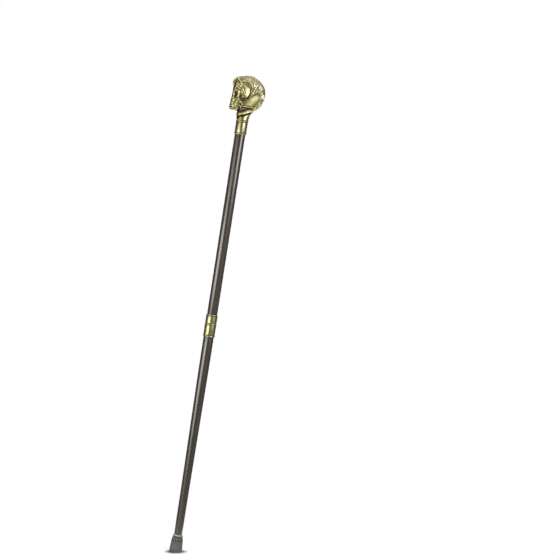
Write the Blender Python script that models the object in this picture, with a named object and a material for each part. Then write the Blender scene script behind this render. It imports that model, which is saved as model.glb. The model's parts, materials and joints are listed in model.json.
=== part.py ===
"""A take-down walking cane with a cast horse-head handle.

The cane stands upright on its rubber tip: +Z is up, the horse faces -X, and the origin is the middle
of the tip's underside. Two screw joints take it apart: one in the middle of the shaft and one under
the handle. All lengths are in metres.
"""

import math

import bmesh
import bpy
from mathutils import Vector

MM = 0.001

# Fits
TOUCH_GAP = 0.3 * MM  # between two pieces that touch
THREAD_GAP = 0.3 * MM  # radial play between a stud and its nut
CUT_MARGIN = 1.0 * MM  # how far a cutter runs past what it cuts

# Heights of the parting planes and of the head
LOWER_SECTION_HEIGHT = 451.0 * MM  # floor to the middle joint's parting plane
UPPER_SECTION_HEIGHT = 393.5 * MM  # middle parting plane to the handle's parting plane
FOOT_BEAD_HEIGHT = 2.2 * MM  # bead round the foot of the casting

# Shaft
UPPER_TOP_RADIUS = 10.3 * MM
JOINT_SHAFT_RADIUS = 10.0 * MM  # both sections, at the middle joint
SHAFT_FOOT_RADIUS = 7.8 * MM
TAPER_END_STEP = 0.2 * MM  # the taper ends this much thicker than the foot
TAPER_START_DROP = 60.0 * MM  # below the middle parting plane
TAPER_END_HEIGHT = 120.0 * MM  # above the floor
TENON_STEP = 0.8 * MM  # how much thinner the shaft is inside a collar
EDGE_CHAMFER = 0.5 * MM

# Collars
HANDLE_COLLAR_LENGTH = 27.0 * MM
UPPER_COLLAR_LENGTH = 16.5 * MM
LOWER_COLLAR_LENGTH = 26.5 * MM
COLLAR_STEP = 1.1 * MM  # collar sleeve above the shaft's surface
BEAD_STEP = 0.8 * MM  # bead above the sleeve
BEAD_WIDTH = 2.4 * MM
BEAD_ARC_STEPS = 4
END_WALL = 2.5 * MM
COLLAR_FACE_CHAMFER = 0.3 * MM

# Washers in the collar faces
WASHER_RADIUS = 8.0 * MM
WASHER_THICKNESS = 0.8 * MM

# Screw joints: metric threads, M10 x 1.5 in the shaft and M8 x 1.25 under the handle
JOINT_THREAD_RADIUS = 5.0 * MM
JOINT_PITCH = 1.5 * MM
HANDLE_THREAD_RADIUS = 4.0 * MM
HANDLE_PITCH = 1.25 * MM
ENGAGED_TURNS = 8
NUT_EXTRA_LENGTH = 1.0 * MM
NUT_WALL = 1.4 * MM
THREAD_DEPTH = 0.5413  # of a 60 degree metric thread, as a share of its pitch
SHANK_RELIEF = 0.2 * MM  # how much thinner the plain shank is than the thread's root
STUD_CHAMFER = 0.7 * MM
THREAD_ROOM = 1.2 * MM  # free depth past the nut and the stud's end
ANCHOR_LENGTH = 16.0 * MM
ANCHOR_WALL = 1.9 * MM
HEAD_SHANK_LENGTH = 18.0 * MM  # of the handle stud, cast into the head

# Rubber tip
TIP_HEIGHT = 34.0 * MM
TIP_FLOOR = 8.0 * MM
TIP_WALL = 2.1 * MM  # at the neck, under the rim
TIP_RIM_STEP = 0.4 * MM
TIP_RIM_HEIGHT = 3.4 * MM
TIP_WAIST_RADIUS = 11.3 * MM
TIP_WAIST_HEIGHT = 21.0 * MM
TIP_BASE_RADIUS = 12.7 * MM
TIP_BASE_HEIGHT = 5.0 * MM
TIP_SOLE_RADIUS = 11.8 * MM
TIP_EDGE_HEIGHT = 1.2 * MM
TREAD_DEPTH = 1.2 * MM
TREAD_GROOVES = ((3.6 * MM, 5.4 * MM), (7.6 * MM, 9.2 * MM))  # inner and outer radius of each ring groove
TIP_WASHER_THICKNESS = 1.2 * MM

# Horse head
CASTING_WALL = 4.0 * MM
CAVITY_BOTTOM = 19.5 * MM  # above the casting's foot bead
CAVITY_TOP = 76.0 * MM

# Mesh resolution
ROUND_SEGMENTS = 32
THREAD_SEGMENTS = 20
HEAD_SEGMENTS = 40
SHORT_EDGE = 0.02 * MM  # points nearer than this are merged where a thread is cut off

# The head's horizontal sections, in millimetres above the foot bead: height, front edge, back edge, then
# half the width across the face, the cheeks and the crest of the neck
HEAD_SECTIONS = (
    (0.0, -11.6, 11.6, 8.2, 11.4, 8.2),
    (1.6, -14.2, 11.7, 8.6, 11.8, 8.4),
    (5.5, -14.7, 11.9, 9.0, 12.0, 8.6),
    (9.5, -13.9, 12.6, 9.2, 12.2, 9.0),
    (12.8, -14.2, 14.6, 9.4, 12.6, 9.8),
    (14.4, -24.6, 16.0, 7.6, 13.0, 10.6),
    (16.6, -28.4, 17.8, 8.8, 13.6, 11.4),
    (20.5, -29.4, 21.6, 9.8, 14.6, 12.4),
    (25.0, -29.0, 26.8, 10.0, 15.8, 13.4),
    (29.5, -28.2, 30.2, 9.6, 17.0, 14.2),
    (34.0, -28.4, 31.9, 10.2, 18.0, 14.6),
    (39.0, -27.6, 33.9, 11.2, 18.6, 14.8),
    (45.0, -27.4, 35.9, 12.2, 19.0, 15.0),
    (51.0, -28.2, 36.3, 13.2, 19.0, 15.0),
    (57.0, -27.4, 35.0, 14.0, 18.6, 14.6),
    (63.0, -28.8, 32.8, 14.0, 17.8, 13.8),
    (68.0, -29.0, 30.2, 13.0, 16.2, 12.8),
    (72.0, -27.4, 26.6, 11.6, 14.4, 11.6),
    (75.5, -25.0, 22.8, 9.8, 12.4, 10.0),
    (78.5, -16.6, 17.6, 8.0, 10.0, 8.2),
    (81.0, -10.0, 12.2, 5.6, 7.2, 6.0),
    (83.0, -2.6, 6.4, 2.6, 3.4, 2.8),
)
FACE_SHARE = 0.16  # where along each section the face, cheek and crest widths are measured
CHEEK_SHARE = 0.46
CREST_SHARE = 0.80
SECTION_ROUNDNESS = 0.8  # 1 gives an ellipse, less a fuller oval

# Places that follow from the sizes above
JOINT_PLANE = LOWER_SECTION_HEIGHT
HANDLE_PLANE = JOINT_PLANE + UPPER_SECTION_HEIGHT
HALF_GAP = 0.5 * TOUCH_GAP
JOINT_SCREW = (JOINT_THREAD_RADIUS, JOINT_PITCH)
HANDLE_SCREW = (HANDLE_THREAD_RADIUS, HANDLE_PITCH)
RECESS_DEPTH = WASHER_THICKNESS + TOUCH_GAP
WASHED_FACE_TO_TENON = RECESS_DEPTH + END_WALL + TOUCH_GAP
PLAIN_FACE_TO_TENON = END_WALL + TOUCH_GAP
SHAFT_FOOT_HEIGHT = TIP_FLOOR + 2 * TOUCH_GAP + TIP_WASHER_THICKNESS


def clear_scene():
    for item in list(bpy.data.objects):
        bpy.data.objects.remove(item, do_unlink=True)


def make_material(name, colour, metallic, roughness):
    material = bpy.data.materials.new(name)
    material.use_nodes = True
    shader = material.node_tree.nodes["Principled BSDF"]
    shader.inputs["Base Color"].default_value = (*colour, 1.0)
    shader.inputs["Metallic"].default_value = metallic
    shader.inputs["Roughness"].default_value = roughness
    return material


def antique_brass(name):
    return make_material(name, (0.46, 0.37, 0.14), 1.0, 0.32)


def zinc_steel(name):
    return make_material(name, (0.56, 0.56, 0.54), 1.0, 0.38)


def make_empty(name, height, parent=None):
    """An empty on the cane's axis: the pieces under it move as one body."""
    empty = bpy.data.objects.new(name, None)
    bpy.context.collection.objects.link(empty)
    place(empty, height, parent)
    return empty


def place(item, height, parent):
    """Put an object's origin on the cane's axis at a height above the floor."""
    item.parent = parent
    below = parent["height"] if parent else 0.0
    item["height"] = height
    item.location = (0.0, 0.0, height - below)


def make_object(name, shape, material, height, parent):
    """Turn a bmesh, drawn around its own origin, into a named object on the cane's axis."""
    bmesh.ops.recalc_face_normals(shape, faces=shape.faces)
    mesh = bpy.data.meshes.new(name)
    shape.to_mesh(mesh)
    shape.free()
    mesh.shade_smooth()
    mesh.set_sharp_from_angle(angle=math.radians(30))
    item = bpy.data.objects.new(name, mesh)
    bpy.context.collection.objects.link(item)
    place(item, height, parent)
    if material:
        mesh.materials.append(material)
    else:
        item.hide_render = True
        item.display_type = "WIRE"
    return item


def combine(item, other, operation):
    """Cut, join or trim a piece with a hidden helper object."""
    modifier = item.modifiers.new(other.name, "BOOLEAN")
    modifier.operation = operation
    modifier.solver = "EXACT"
    modifier.object = other


def turned(profile, closed=False, segments=ROUND_SEGMENTS):
    """Spin a profile of (radius, height) points once round the axis. A closed profile makes a ring."""
    shape = bmesh.new()
    points = [shape.verts.new((radius, 0.0, height)) for radius, height in profile]
    edges = [shape.edges.new(pair) for pair in zip(points, points[1:])]
    if closed:
        edges.append(shape.edges.new((points[-1], points[0])))
    bmesh.ops.spin(
        shape,
        geom=points + edges,
        cent=(0.0, 0.0, 0.0),
        axis=(0.0, 0.0, 1.0),
        angle=2 * math.pi,
        steps=segments,
        use_merge=True,
    )
    bmesh.ops.remove_doubles(shape, verts=shape.verts, dist=1e-6)
    return shape


def bead(sleeve_radius, start, step=BEAD_STEP, width=BEAD_WIDTH):
    """Points of a half-round bead that stands out of a sleeve, from start on."""
    points = []
    for index in range(BEAD_ARC_STEPS + 1):
        angle = math.pi * index / BEAD_ARC_STEPS
        reach = 0.5 * width * (1 - math.cos(angle))
        points.append((sleeve_radius + step * math.sin(angle), start + reach))
    return points


def thread(screw, start, end, growth=0.0, nose=0.0):
    """A right-hand threaded rod between two heights. The 60 degree thread is grown all round for a tap.

    A nose other than zero chamfers the top end, or the bottom end where it is negative.
    """
    crest_radius, pitch = screw
    crest = crest_radius + growth
    root = crest - THREAD_DEPTH * pitch
    crest_half = pitch / 16
    root_half = 3 * pitch / 8
    ridge = ((root, -root_half), (crest, -crest_half), (crest, crest_half), (root, root_half))
    shape = bmesh.new()
    points = []
    first = math.floor(start / pitch) - 2
    last = math.ceil(end / pitch) + 1
    for turn in range(first, last + 1):
        points += [shape.verts.new((radius, 0.0, turn * pitch + offset)) for radius, offset in ridge]
    edges = [shape.edges.new(pair) for pair in zip(points, points[1:])]
    bmesh.ops.spin(
        shape,
        geom=points + edges,
        cent=(0.0, 0.0, 0.0),
        axis=(0.0, 0.0, 1.0),
        dvec=(0.0, 0.0, pitch / THREAD_SEGMENTS),
        angle=2 * math.pi,
        steps=THREAD_SEGMENTS,
        use_merge=False,
    )
    bmesh.ops.remove_doubles(shape, verts=shape.verts, dist=1e-6)
    for height, outward in ((start, -1.0), (end, 1.0)):
        everything = shape.verts[:] + shape.edges[:] + shape.faces[:]
        bmesh.ops.bisect_plane(
            shape, geom=everything, plane_co=(0, 0, height), plane_no=(0, 0, outward), clear_outer=True
        )
    bmesh.ops.remove_doubles(shape, verts=shape.verts, dist=SHORT_EDGE)
    rims = [edge for edge in shape.edges if edge.is_boundary]
    bmesh.ops.holes_fill(shape, edges=rims, sides=0)
    if nose:
        slope_start = end - nose if nose > 0 else start - nose
        chamfer(shape, crest, slope_start, math.copysign(1.0, nose))
    return shape


def chamfer(shape, radius, slope_start, way):
    """Pull a rod's points in to a 45 degree cone past slope_start."""
    for point in shape.verts:
        limit = radius - max(0.0, way * (point.co.z - slope_start))
        reach = math.hypot(point.co.x, point.co.y)
        if reach > limit:
            point.co.x *= limit / reach
            point.co.y *= limit / reach


def screw_range(screw):
    """How far a joint lifts before its last thread lets go."""
    return ENGAGED_TURNS * screw[1]


def shank_radius(screw):
    """The plain shank is a little thinner than the thread's root."""
    crest_radius, pitch = screw
    return crest_radius - THREAD_DEPTH * pitch - SHANK_RELIEF


def clearance_hole(screw):
    """The radius of a hole that a stud's thread passes through."""
    return screw[0] + TOUCH_GAP


def build_stud(name, screw, shank_start, thread_start, thread_end, height, parent):
    """A steel stud with a plain shank. Heights count from the parting plane, and run up or down from it."""
    way = 1 if thread_end > thread_start else -1
    low, high = sorted((thread_start, thread_end))
    rod = thread(screw, low, high, nose=way * STUD_CHAMFER)
    stud = make_object(name, rod, zinc_steel(name), height, parent)
    shank_end = thread_start + way * screw[1]
    radius = shank_radius(screw)
    profile = [
        (0.0, shank_start),
        (radius - EDGE_CHAMFER, shank_start),
        (radius, shank_start + way * EDGE_CHAMFER),
        (radius, shank_end),
        (0.0, shank_end),
    ]
    shank = make_object(name + ".shank", turned(profile, segments=THREAD_SEGMENTS), None, height, parent)
    combine(stud, shank, "UNION")
    return stud


def nut_length(screw):
    return screw_range(screw) + NUT_EXTRA_LENGTH


def nut_radius(screw):
    return screw[0] + THREAD_GAP + NUT_WALL


def build_nut(name, screw, face, way, height, parent):
    """A brass nut set in the end of a shaft. Its face is flush with the shaft's tenon."""
    outer = nut_radius(screw)
    inner = 0.5 * shank_radius(screw)
    far = face + way * nut_length(screw)
    profile = [
        (inner, face),
        (outer - EDGE_CHAMFER, face),
        (outer, face + way * EDGE_CHAMFER),
        (outer, far - way * EDGE_CHAMFER),
        (outer - EDGE_CHAMFER, far),
        (inner, far),
    ]
    nut = make_object(name, turned(profile, closed=True), antique_brass(name), height, parent)
    low, high = sorted((face - way * CUT_MARGIN, far + way * CUT_MARGIN))
    tap = make_object(name + ".tap", thread(screw, low, high, THREAD_GAP), None, height, parent)
    combine(nut, tap, "DIFFERENCE")
    return nut


def build_washer(name, screw, height, parent):
    """A fibre washer that lies in a collar's recess, just under the mating face."""
    hole = clearance_hole(screw)
    top = -HALF_GAP
    bottom = top - WASHER_THICKNESS
    profile = [(hole, bottom), (WASHER_RADIUS, bottom), (WASHER_RADIUS, top), (hole, top)]
    fibre = make_material(name, (0.30, 0.09, 0.04), 0.0, 0.7)
    return make_object(name, turned(profile, closed=True), fibre, height, parent)


def plain_face(hole, sleeve):
    """Profile points of a collar's flat end wall with a chamfered edge. Depths count from the face."""
    return [(hole, 0.0), (sleeve - COLLAR_FACE_CHAMFER, 0.0), (sleeve, COLLAR_FACE_CHAMFER)]


def washed_face(hole, sleeve):
    """Profile points of an end wall that holds a washer in a recess and has a bead round its edge."""
    recess = WASHER_RADIUS + TOUCH_GAP
    rim = sleeve - COLLAR_FACE_CHAMFER
    points = [(hole, RECESS_DEPTH), (recess, RECESS_DEPTH), (recess, 0.0), (rim, 0.0)]
    return points + bead(sleeve, COLLAR_FACE_CHAMFER)


def build_collar(name, length, shaft_radius, screw, face, height, parent):
    """A turned brass collar: a sleeve over the shaft's tenon, with an end wall at the parting plane.

    A collar with a plain face lies above its parting plane, and one with a washed face below it.
    """
    way = 1 if face is plain_face else -1
    sleeve = shaft_radius + COLLAR_STEP
    bore = shaft_radius - TENON_STEP + TOUCH_GAP
    hole = clearance_hole(screw)
    profile = face(hole, sleeve)
    wall_end = profile[0][1] + END_WALL
    profile += bead(sleeve, length - BEAD_WIDTH)
    profile += [(bore, length), (bore, wall_end), (hole, wall_end)]
    placed = [(radius, way * (HALF_GAP + depth)) for radius, depth in profile]
    return make_object(name, turned(placed, closed=True), antique_brass(name), height, parent)


def socket(end, depth, radius, way):
    """Profile points of a blind hole that is drilled into the end of a shaft."""
    return [(0.0, end + way * depth), (radius, end + way * depth), (radius, end)]


def build_lower_shaft(parent):
    """The tapered lower section, from inside the tip to inside the lower collar."""
    tenon_top = JOINT_PLANE - HALF_GAP - WASHED_FACE_TO_TENON
    shoulder = JOINT_PLANE - HALF_GAP - LOWER_COLLAR_LENGTH - TOUCH_GAP
    tenon_radius = JOINT_SHAFT_RADIUS - TENON_STEP
    hole_radius = anchor_bore() + ANCHOR_WALL + TOUCH_GAP
    profile = [
        (0.0, SHAFT_FOOT_HEIGHT),
        (SHAFT_FOOT_RADIUS - EDGE_CHAMFER, SHAFT_FOOT_HEIGHT),
        (SHAFT_FOOT_RADIUS, SHAFT_FOOT_HEIGHT + EDGE_CHAMFER),
        (SHAFT_FOOT_RADIUS, TIP_HEIGHT),
        (SHAFT_FOOT_RADIUS + TAPER_END_STEP, TAPER_END_HEIGHT),
        (JOINT_SHAFT_RADIUS, JOINT_PLANE - TAPER_START_DROP),
        (JOINT_SHAFT_RADIUS, shoulder),
        (tenon_radius, shoulder),
        (tenon_radius, tenon_top),
    ]
    depth = ANCHOR_LENGTH + THREAD_ROOM
    profile += reversed(socket(tenon_top, depth, hole_radius, -1))
    lacquer = make_material("lower_shaft", (0.018, 0.016, 0.014), 0.0, 0.22)
    return make_object("lower_shaft", turned(profile), lacquer, 0.0, parent)


def build_upper_shaft(parent):
    """The upper section, with a nut's socket in each end. Heights count from the middle joint."""
    bottom = HALF_GAP + PLAIN_FACE_TO_TENON
    top = UPPER_SECTION_HEIGHT - HALF_GAP - WASHED_FACE_TO_TENON
    low_shoulder = HALF_GAP + UPPER_COLLAR_LENGTH + TOUCH_GAP
    high_shoulder = UPPER_SECTION_HEIGHT - HALF_GAP - HANDLE_COLLAR_LENGTH - TOUCH_GAP
    low_tenon = JOINT_SHAFT_RADIUS - TENON_STEP
    high_tenon = UPPER_TOP_RADIUS - TENON_STEP
    low_hole = nut_radius(JOINT_SCREW) + TOUCH_GAP
    high_hole = nut_radius(HANDLE_SCREW) + TOUCH_GAP
    profile = socket(bottom, nut_length(JOINT_SCREW) + THREAD_ROOM, low_hole, 1)
    profile += [
        (low_tenon, bottom),
        (low_tenon, low_shoulder),
        (JOINT_SHAFT_RADIUS, low_shoulder),
        (UPPER_TOP_RADIUS, high_shoulder),
        (high_tenon, high_shoulder),
        (high_tenon, top),
    ]
    profile += reversed(socket(top, nut_length(HANDLE_SCREW) + THREAD_ROOM, high_hole, -1))
    lacquer = make_material("upper_shaft", (0.018, 0.016, 0.014), 0.0, 0.22)
    return make_object("upper_shaft", turned(profile), lacquer, JOINT_PLANE, parent)


def anchor_bore():
    return shank_radius(JOINT_SCREW) + TOUCH_GAP


def build_anchor(parent):
    """The brass bush in the lower shaft that holds the middle stud's shank."""
    bore = anchor_bore()
    outer = bore + ANCHOR_WALL
    top = -HALF_GAP - WASHED_FACE_TO_TENON
    bottom = top - ANCHOR_LENGTH
    profile = [
        (bore, bottom),
        (outer - EDGE_CHAMFER, bottom),
        (outer, bottom + EDGE_CHAMFER),
        (outer, top),
        (bore, top),
    ]
    brass = antique_brass("joint_anchor")
    return make_object("joint_anchor", turned(profile, closed=True), brass, JOINT_PLANE, parent)


def build_tip(parent):
    """The moulded rubber tip, a bell with a rolled rim, ring grooves in its sole and a blind bore."""
    bore = SHAFT_FOOT_RADIUS + TOUCH_GAP
    neck = bore + TIP_WALL
    rim_bottom = TIP_HEIGHT - TIP_RIM_HEIGHT
    profile = [(0.0, 0.0)]
    for inner, outer in TREAD_GROOVES:
        profile += [(inner, 0.0), (inner, TREAD_DEPTH), (outer, TREAD_DEPTH), (outer, 0.0)]
    profile += [
        (TIP_SOLE_RADIUS, 0.0),
        (TIP_BASE_RADIUS, TIP_EDGE_HEIGHT),
        (TIP_BASE_RADIUS, TIP_BASE_HEIGHT),
        (TIP_WAIST_RADIUS, TIP_WAIST_HEIGHT),
        (neck, rim_bottom),
    ]
    profile += bead(neck, rim_bottom, TIP_RIM_STEP, TIP_RIM_HEIGHT)[1:]
    profile += [(bore, TIP_HEIGHT), (bore, TIP_FLOOR), (0.0, TIP_FLOOR)]
    rubber = make_material("rubber_tip", (0.055, 0.052, 0.048), 0.0, 0.75)
    return make_object("rubber_tip", turned(profile), rubber, 0.0, parent)


def build_tip_washer(parent):
    """The steel disc that keeps the shaft from punching through the rubber."""
    radius = SHAFT_FOOT_RADIUS - TOUCH_GAP
    bottom = TIP_FLOOR + TOUCH_GAP
    top = bottom + TIP_WASHER_THICKNESS
    profile = [(0.0, bottom), (radius, bottom), (radius, top), (0.0, top)]
    return make_object("tip_washer", turned(profile), zinc_steel("tip_washer"), 0.0, parent)


def section_width(share, face, cheek, crest):
    """Half width at a share of the way from front to back, easing from the face to the cheek to the crest."""
    end, end_share = (face, FACE_SHARE) if share < CHEEK_SHARE else (crest, CREST_SHARE)
    reach = min(1.0, (share - CHEEK_SHARE) / (end_share - CHEEK_SHARE))
    return cheek + (end - cheek) * reach * reach * (3 - 2 * reach)


def section_ring(section, inset):
    """Points round one horizontal section of the head, a closed oval that is wider at the cheeks."""
    height, front, back, face, cheek, crest = (value * MM for value in section)
    front += inset
    back -= inset
    points = []
    for index in range(HEAD_SEGMENTS):
        angle = 2 * math.pi * index / HEAD_SEGMENTS
        share = 0.5 - 0.5 * math.cos(angle)
        width = section_width(share, face, cheek, crest) - inset
        side = math.copysign(abs(math.sin(angle)) ** SECTION_ROUNDNESS, math.sin(angle))
        points.append(Vector((front + share * (back - front), width * side, height)))
    return points


def lofted(rings):
    """Skin a stack of rings, closed at both ends."""
    shape = bmesh.new()
    loops = [[shape.verts.new(point) for point in ring] for ring in rings]
    for low, high in zip(loops, loops[1:]):
        for index in range(HEAD_SEGMENTS):
            after = (index + 1) % HEAD_SEGMENTS
            shape.faces.new((low[index], low[after], high[after], high[index]))
    shape.faces.new(loops[0])
    shape.faces.new(loops[-1])
    return shape


def foot_rings():
    """The round foot of the casting: a half-round bead above the parting plane."""
    radius = UPPER_TOP_RADIUS + COLLAR_STEP
    bottom = HALF_GAP - FOOT_BEAD_HEIGHT
    profile = [(radius - COLLAR_FACE_CHAMFER, bottom)]
    profile += bead(radius, bottom + COLLAR_FACE_CHAMFER, BEAD_STEP, -bottom - COLLAR_FACE_CHAMFER)[1:-1]
    rings = []
    for size, height in profile:
        angles = [2 * math.pi * index / HEAD_SEGMENTS for index in range(HEAD_SEGMENTS)]
        rings.append([Vector((-size * math.cos(a), size * math.sin(a), height)) for a in angles])
    return rings


def build_head(parent):
    """The hollow horse-head casting: stacked sections, cored out, with a bore for the stud's shank."""
    base = HANDLE_PLANE + FOOT_BEAD_HEIGHT
    outside = foot_rings() + [section_ring(section, 0.0) for section in HEAD_SECTIONS]
    head = make_object("horse_head", lofted(outside), antique_brass("horse_head"), base, parent)
    cored = [section for section in HEAD_SECTIONS if CAVITY_BOTTOM < section[0] * MM < CAVITY_TOP]
    inside = [section_ring(section, CASTING_WALL) for section in cored]
    core = make_object("horse_head.core", lofted(inside), None, base, parent)
    combine(head, core, "DIFFERENCE")
    bore = shank_radius(HANDLE_SCREW) + TOUCH_GAP
    bottom = -FOOT_BEAD_HEIGHT - CUT_MARGIN
    top = cored[0][0] * MM + CUT_MARGIN
    profile = [(0.0, bottom), (bore, bottom), (bore, top), (0.0, top)]
    drill = make_object("horse_head.bore", turned(profile, segments=THREAD_SEGMENTS), None, base, parent)
    combine(head, drill, "DIFFERENCE")
    return head


def build_lower_section():
    """The body that stands on the floor, up to the middle joint's stud."""
    body = make_empty("lower_section", 0.0)
    build_tip(body)
    build_tip_washer(body)
    build_lower_shaft(body)
    build_anchor(body)
    collar = ("joint_lower_collar", LOWER_COLLAR_LENGTH, JOINT_SHAFT_RADIUS)
    build_collar(*collar, JOINT_SCREW, washed_face, JOINT_PLANE, body)
    shank_start = -HALF_GAP - WASHED_FACE_TO_TENON - ANCHOR_LENGTH
    thread_start = HALF_GAP + END_WALL
    thread_end = HALF_GAP + PLAIN_FACE_TO_TENON + screw_range(JOINT_SCREW)
    build_stud("joint_stud", JOINT_SCREW, shank_start, thread_start, thread_end, JOINT_PLANE, body)
    return body


def build_upper_section(parent):
    """The body between the two screw joints, with a nut at each end."""
    body = make_empty("upper_section", JOINT_PLANE, parent)
    collar = ("joint_upper_collar", UPPER_COLLAR_LENGTH, JOINT_SHAFT_RADIUS)
    build_collar(*collar, JOINT_SCREW, plain_face, JOINT_PLANE, body)
    build_nut("joint_nut", JOINT_SCREW, HALF_GAP + PLAIN_FACE_TO_TENON, 1, JOINT_PLANE, body)
    build_upper_shaft(body)
    collar = ("handle_collar", HANDLE_COLLAR_LENGTH, UPPER_TOP_RADIUS)
    build_collar(*collar, HANDLE_SCREW, washed_face, HANDLE_PLANE, body)
    build_nut("handle_nut", HANDLE_SCREW, -HALF_GAP - WASHED_FACE_TO_TENON, -1, HANDLE_PLANE, body)
    return body


def build_handle(parent):
    """The horse head with its stud, which screws down into the upper section."""
    body = make_empty("handle", HANDLE_PLANE, parent)
    build_head(body)
    shank_start = HALF_GAP + HEAD_SHANK_LENGTH
    thread_start = -HALF_GAP - RECESS_DEPTH - END_WALL
    thread_end = -HALF_GAP - WASHED_FACE_TO_TENON - screw_range(HANDLE_SCREW)
    build_stud("handle_stud", HANDLE_SCREW, shank_start, thread_start, thread_end, HANDLE_PLANE, body)
    return body


def build_cane():
    clear_scene()
    lower = build_lower_section()
    joint_carrier = make_empty("joint_carrier", JOINT_PLANE, lower)
    build_washer("joint_washer", JOINT_SCREW, JOINT_PLANE, joint_carrier)
    upper = build_upper_section(joint_carrier)
    handle_carrier = make_empty("handle_carrier", HANDLE_PLANE, upper)
    build_washer("handle_washer", HANDLE_SCREW, HANDLE_PLANE, handle_carrier)
    build_handle(handle_carrier)


build_cane()
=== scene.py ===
"""Walking cane with a cast horse-head handle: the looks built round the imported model, in metres."""

import json
import math

import bpy
import numpy as np
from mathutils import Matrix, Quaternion, Vector


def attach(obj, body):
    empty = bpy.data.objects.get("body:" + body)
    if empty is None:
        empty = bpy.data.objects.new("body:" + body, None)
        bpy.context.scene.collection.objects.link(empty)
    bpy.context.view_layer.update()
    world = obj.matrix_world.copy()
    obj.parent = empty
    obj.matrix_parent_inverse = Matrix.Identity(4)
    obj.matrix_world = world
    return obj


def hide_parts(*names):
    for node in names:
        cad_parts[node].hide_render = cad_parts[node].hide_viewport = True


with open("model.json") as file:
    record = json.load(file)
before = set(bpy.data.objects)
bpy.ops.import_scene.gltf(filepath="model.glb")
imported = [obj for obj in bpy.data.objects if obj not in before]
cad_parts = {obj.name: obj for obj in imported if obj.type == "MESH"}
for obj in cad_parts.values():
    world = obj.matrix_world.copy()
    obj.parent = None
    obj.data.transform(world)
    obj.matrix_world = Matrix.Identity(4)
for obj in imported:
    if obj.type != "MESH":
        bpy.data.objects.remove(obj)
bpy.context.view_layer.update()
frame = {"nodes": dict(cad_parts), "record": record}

MM = 0.001

# Camera, fitted to the photograph's frame
EYE = (0.0, -6.0, 1.192)
AIM = (0.1183, 0.0, 0.5531)
ROLL_DEG = 8.94
LENS_MM = 202.5
SENSOR_MM = 36.0

# Places on the cane, in metres
JOINT_PLANE = 0.451
HANDLE_PLANE = 0.8445
HEAD_BASE = HANDLE_PLANE + 2.2 * MM
HALF_GAP = 0.15 * MM

# The cast head is modelled in millimetres from HEAD_BASE, x to the back of the neck.
# One side is mirrored, and then the whole is leaned and grown a little.
VOXEL = 0.38
HEAD_LEAN_DEG = 1.8
HEAD_GROWTH = 1.01
MOST_TRIANGLES = 196000
# Long arrays are worked through in this many portions, to save memory
PORTIONS = 60


def add_camera():
    """A long lens a little above the cane, rolled so that the cane leans as it does in the photograph."""
    data = bpy.data.cameras.new("camera")
    data.sensor_width = SENSOR_MM
    data.lens = LENS_MM
    data.clip_end = 200.0
    camera = bpy.data.objects.new("camera", data)
    bpy.context.scene.collection.objects.link(camera)
    bpy.context.scene.camera = camera
    towards = (Vector(AIM) - Vector(EYE)).to_track_quat("-Z", "Y")
    camera.rotation_mode = "QUATERNION"
    camera.rotation_quaternion = towards @ Quaternion((0, 0, 1), math.radians(ROLL_DEG))
    camera.location = EYE


class Wiring:
    """Adds nodes to a node tree and links them: a value that is a socket is linked, any other is set."""

    def __init__(self, tree):
        self.tree = tree
        self.tree.nodes.clear()

    def add(self, kind, inputs=(), **settings):
        made = self.tree.nodes.new(kind)
        for name, value in settings.items():
            setattr(made, name, value)
        for name, value in dict(inputs).items():
            self.feed(made.inputs[name], value)
        return made

    def feed(self, socket, value):
        if isinstance(value, bpy.types.NodeSocket):
            self.tree.links.new(value, socket)
        else:
            socket.default_value = value

    def math(self, operation, first, second=0.0, clamp=False):
        made = self.add("ShaderNodeMath", {0: first, 1: second}, operation=operation, use_clamp=clamp)
        return made.outputs[0]

    def plus(self, first, second):
        return self.math("ADD", first, second)

    def times(self, first, second, clamp=False):
        return self.math("MULTIPLY", first, second, clamp)

    def stored(self, name, output="Fac"):
        """A value that the mesh stores under this name."""
        return self.add("ShaderNodeAttribute", attribute_name=name).outputs[output]

    def mix(self, share, first, second):
        made = self.add("ShaderNodeMix", {0: share, 6: first, 7: second}, data_type="RGBA")
        return made.outputs[2]

    def ramp(self, value, start, end, low=0.0, high=1.0):
        """Low below start, high above end, with a soft step between them."""
        settings = {"Value": value, "From Min": start, "From Max": end, "To Min": low, "To Max": high}
        made = self.add("ShaderNodeMapRange", settings, interpolation_type="SMOOTHSTEP")
        return made.outputs["Result"]

    def noise(self, place, scale, detail=3.0, roughness=0.55):
        settings = {"Vector": place, "Scale": scale, "Detail": detail, "Roughness": roughness}
        return self.add("ShaderNodeTexNoise", settings).outputs["Fac"]

    def stretched(self, place, factors):
        made = self.add("ShaderNodeMapping", {"Vector": place, "Scale": factors})
        return made.outputs["Vector"]


def new_group(name, inputs, outputs):
    """A shader node group; its inputs are (name, kind, default) and its outputs are (name, kind)."""
    tree = bpy.data.node_groups.new(name, "ShaderNodeTree")
    for label, kind, default in inputs:
        socket = tree.interface.new_socket(name=label, in_out="INPUT", socket_type=kind)
        socket.default_value = default
    for label, kind in outputs:
        tree.interface.new_socket(name=label, in_out="OUTPUT", socket_type=kind)
    wiring = Wiring(tree)
    entry = wiring.add("NodeGroupInput").outputs
    leave = wiring.add("NodeGroupOutput").inputs
    return tree, wiring, entry, leave


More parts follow.
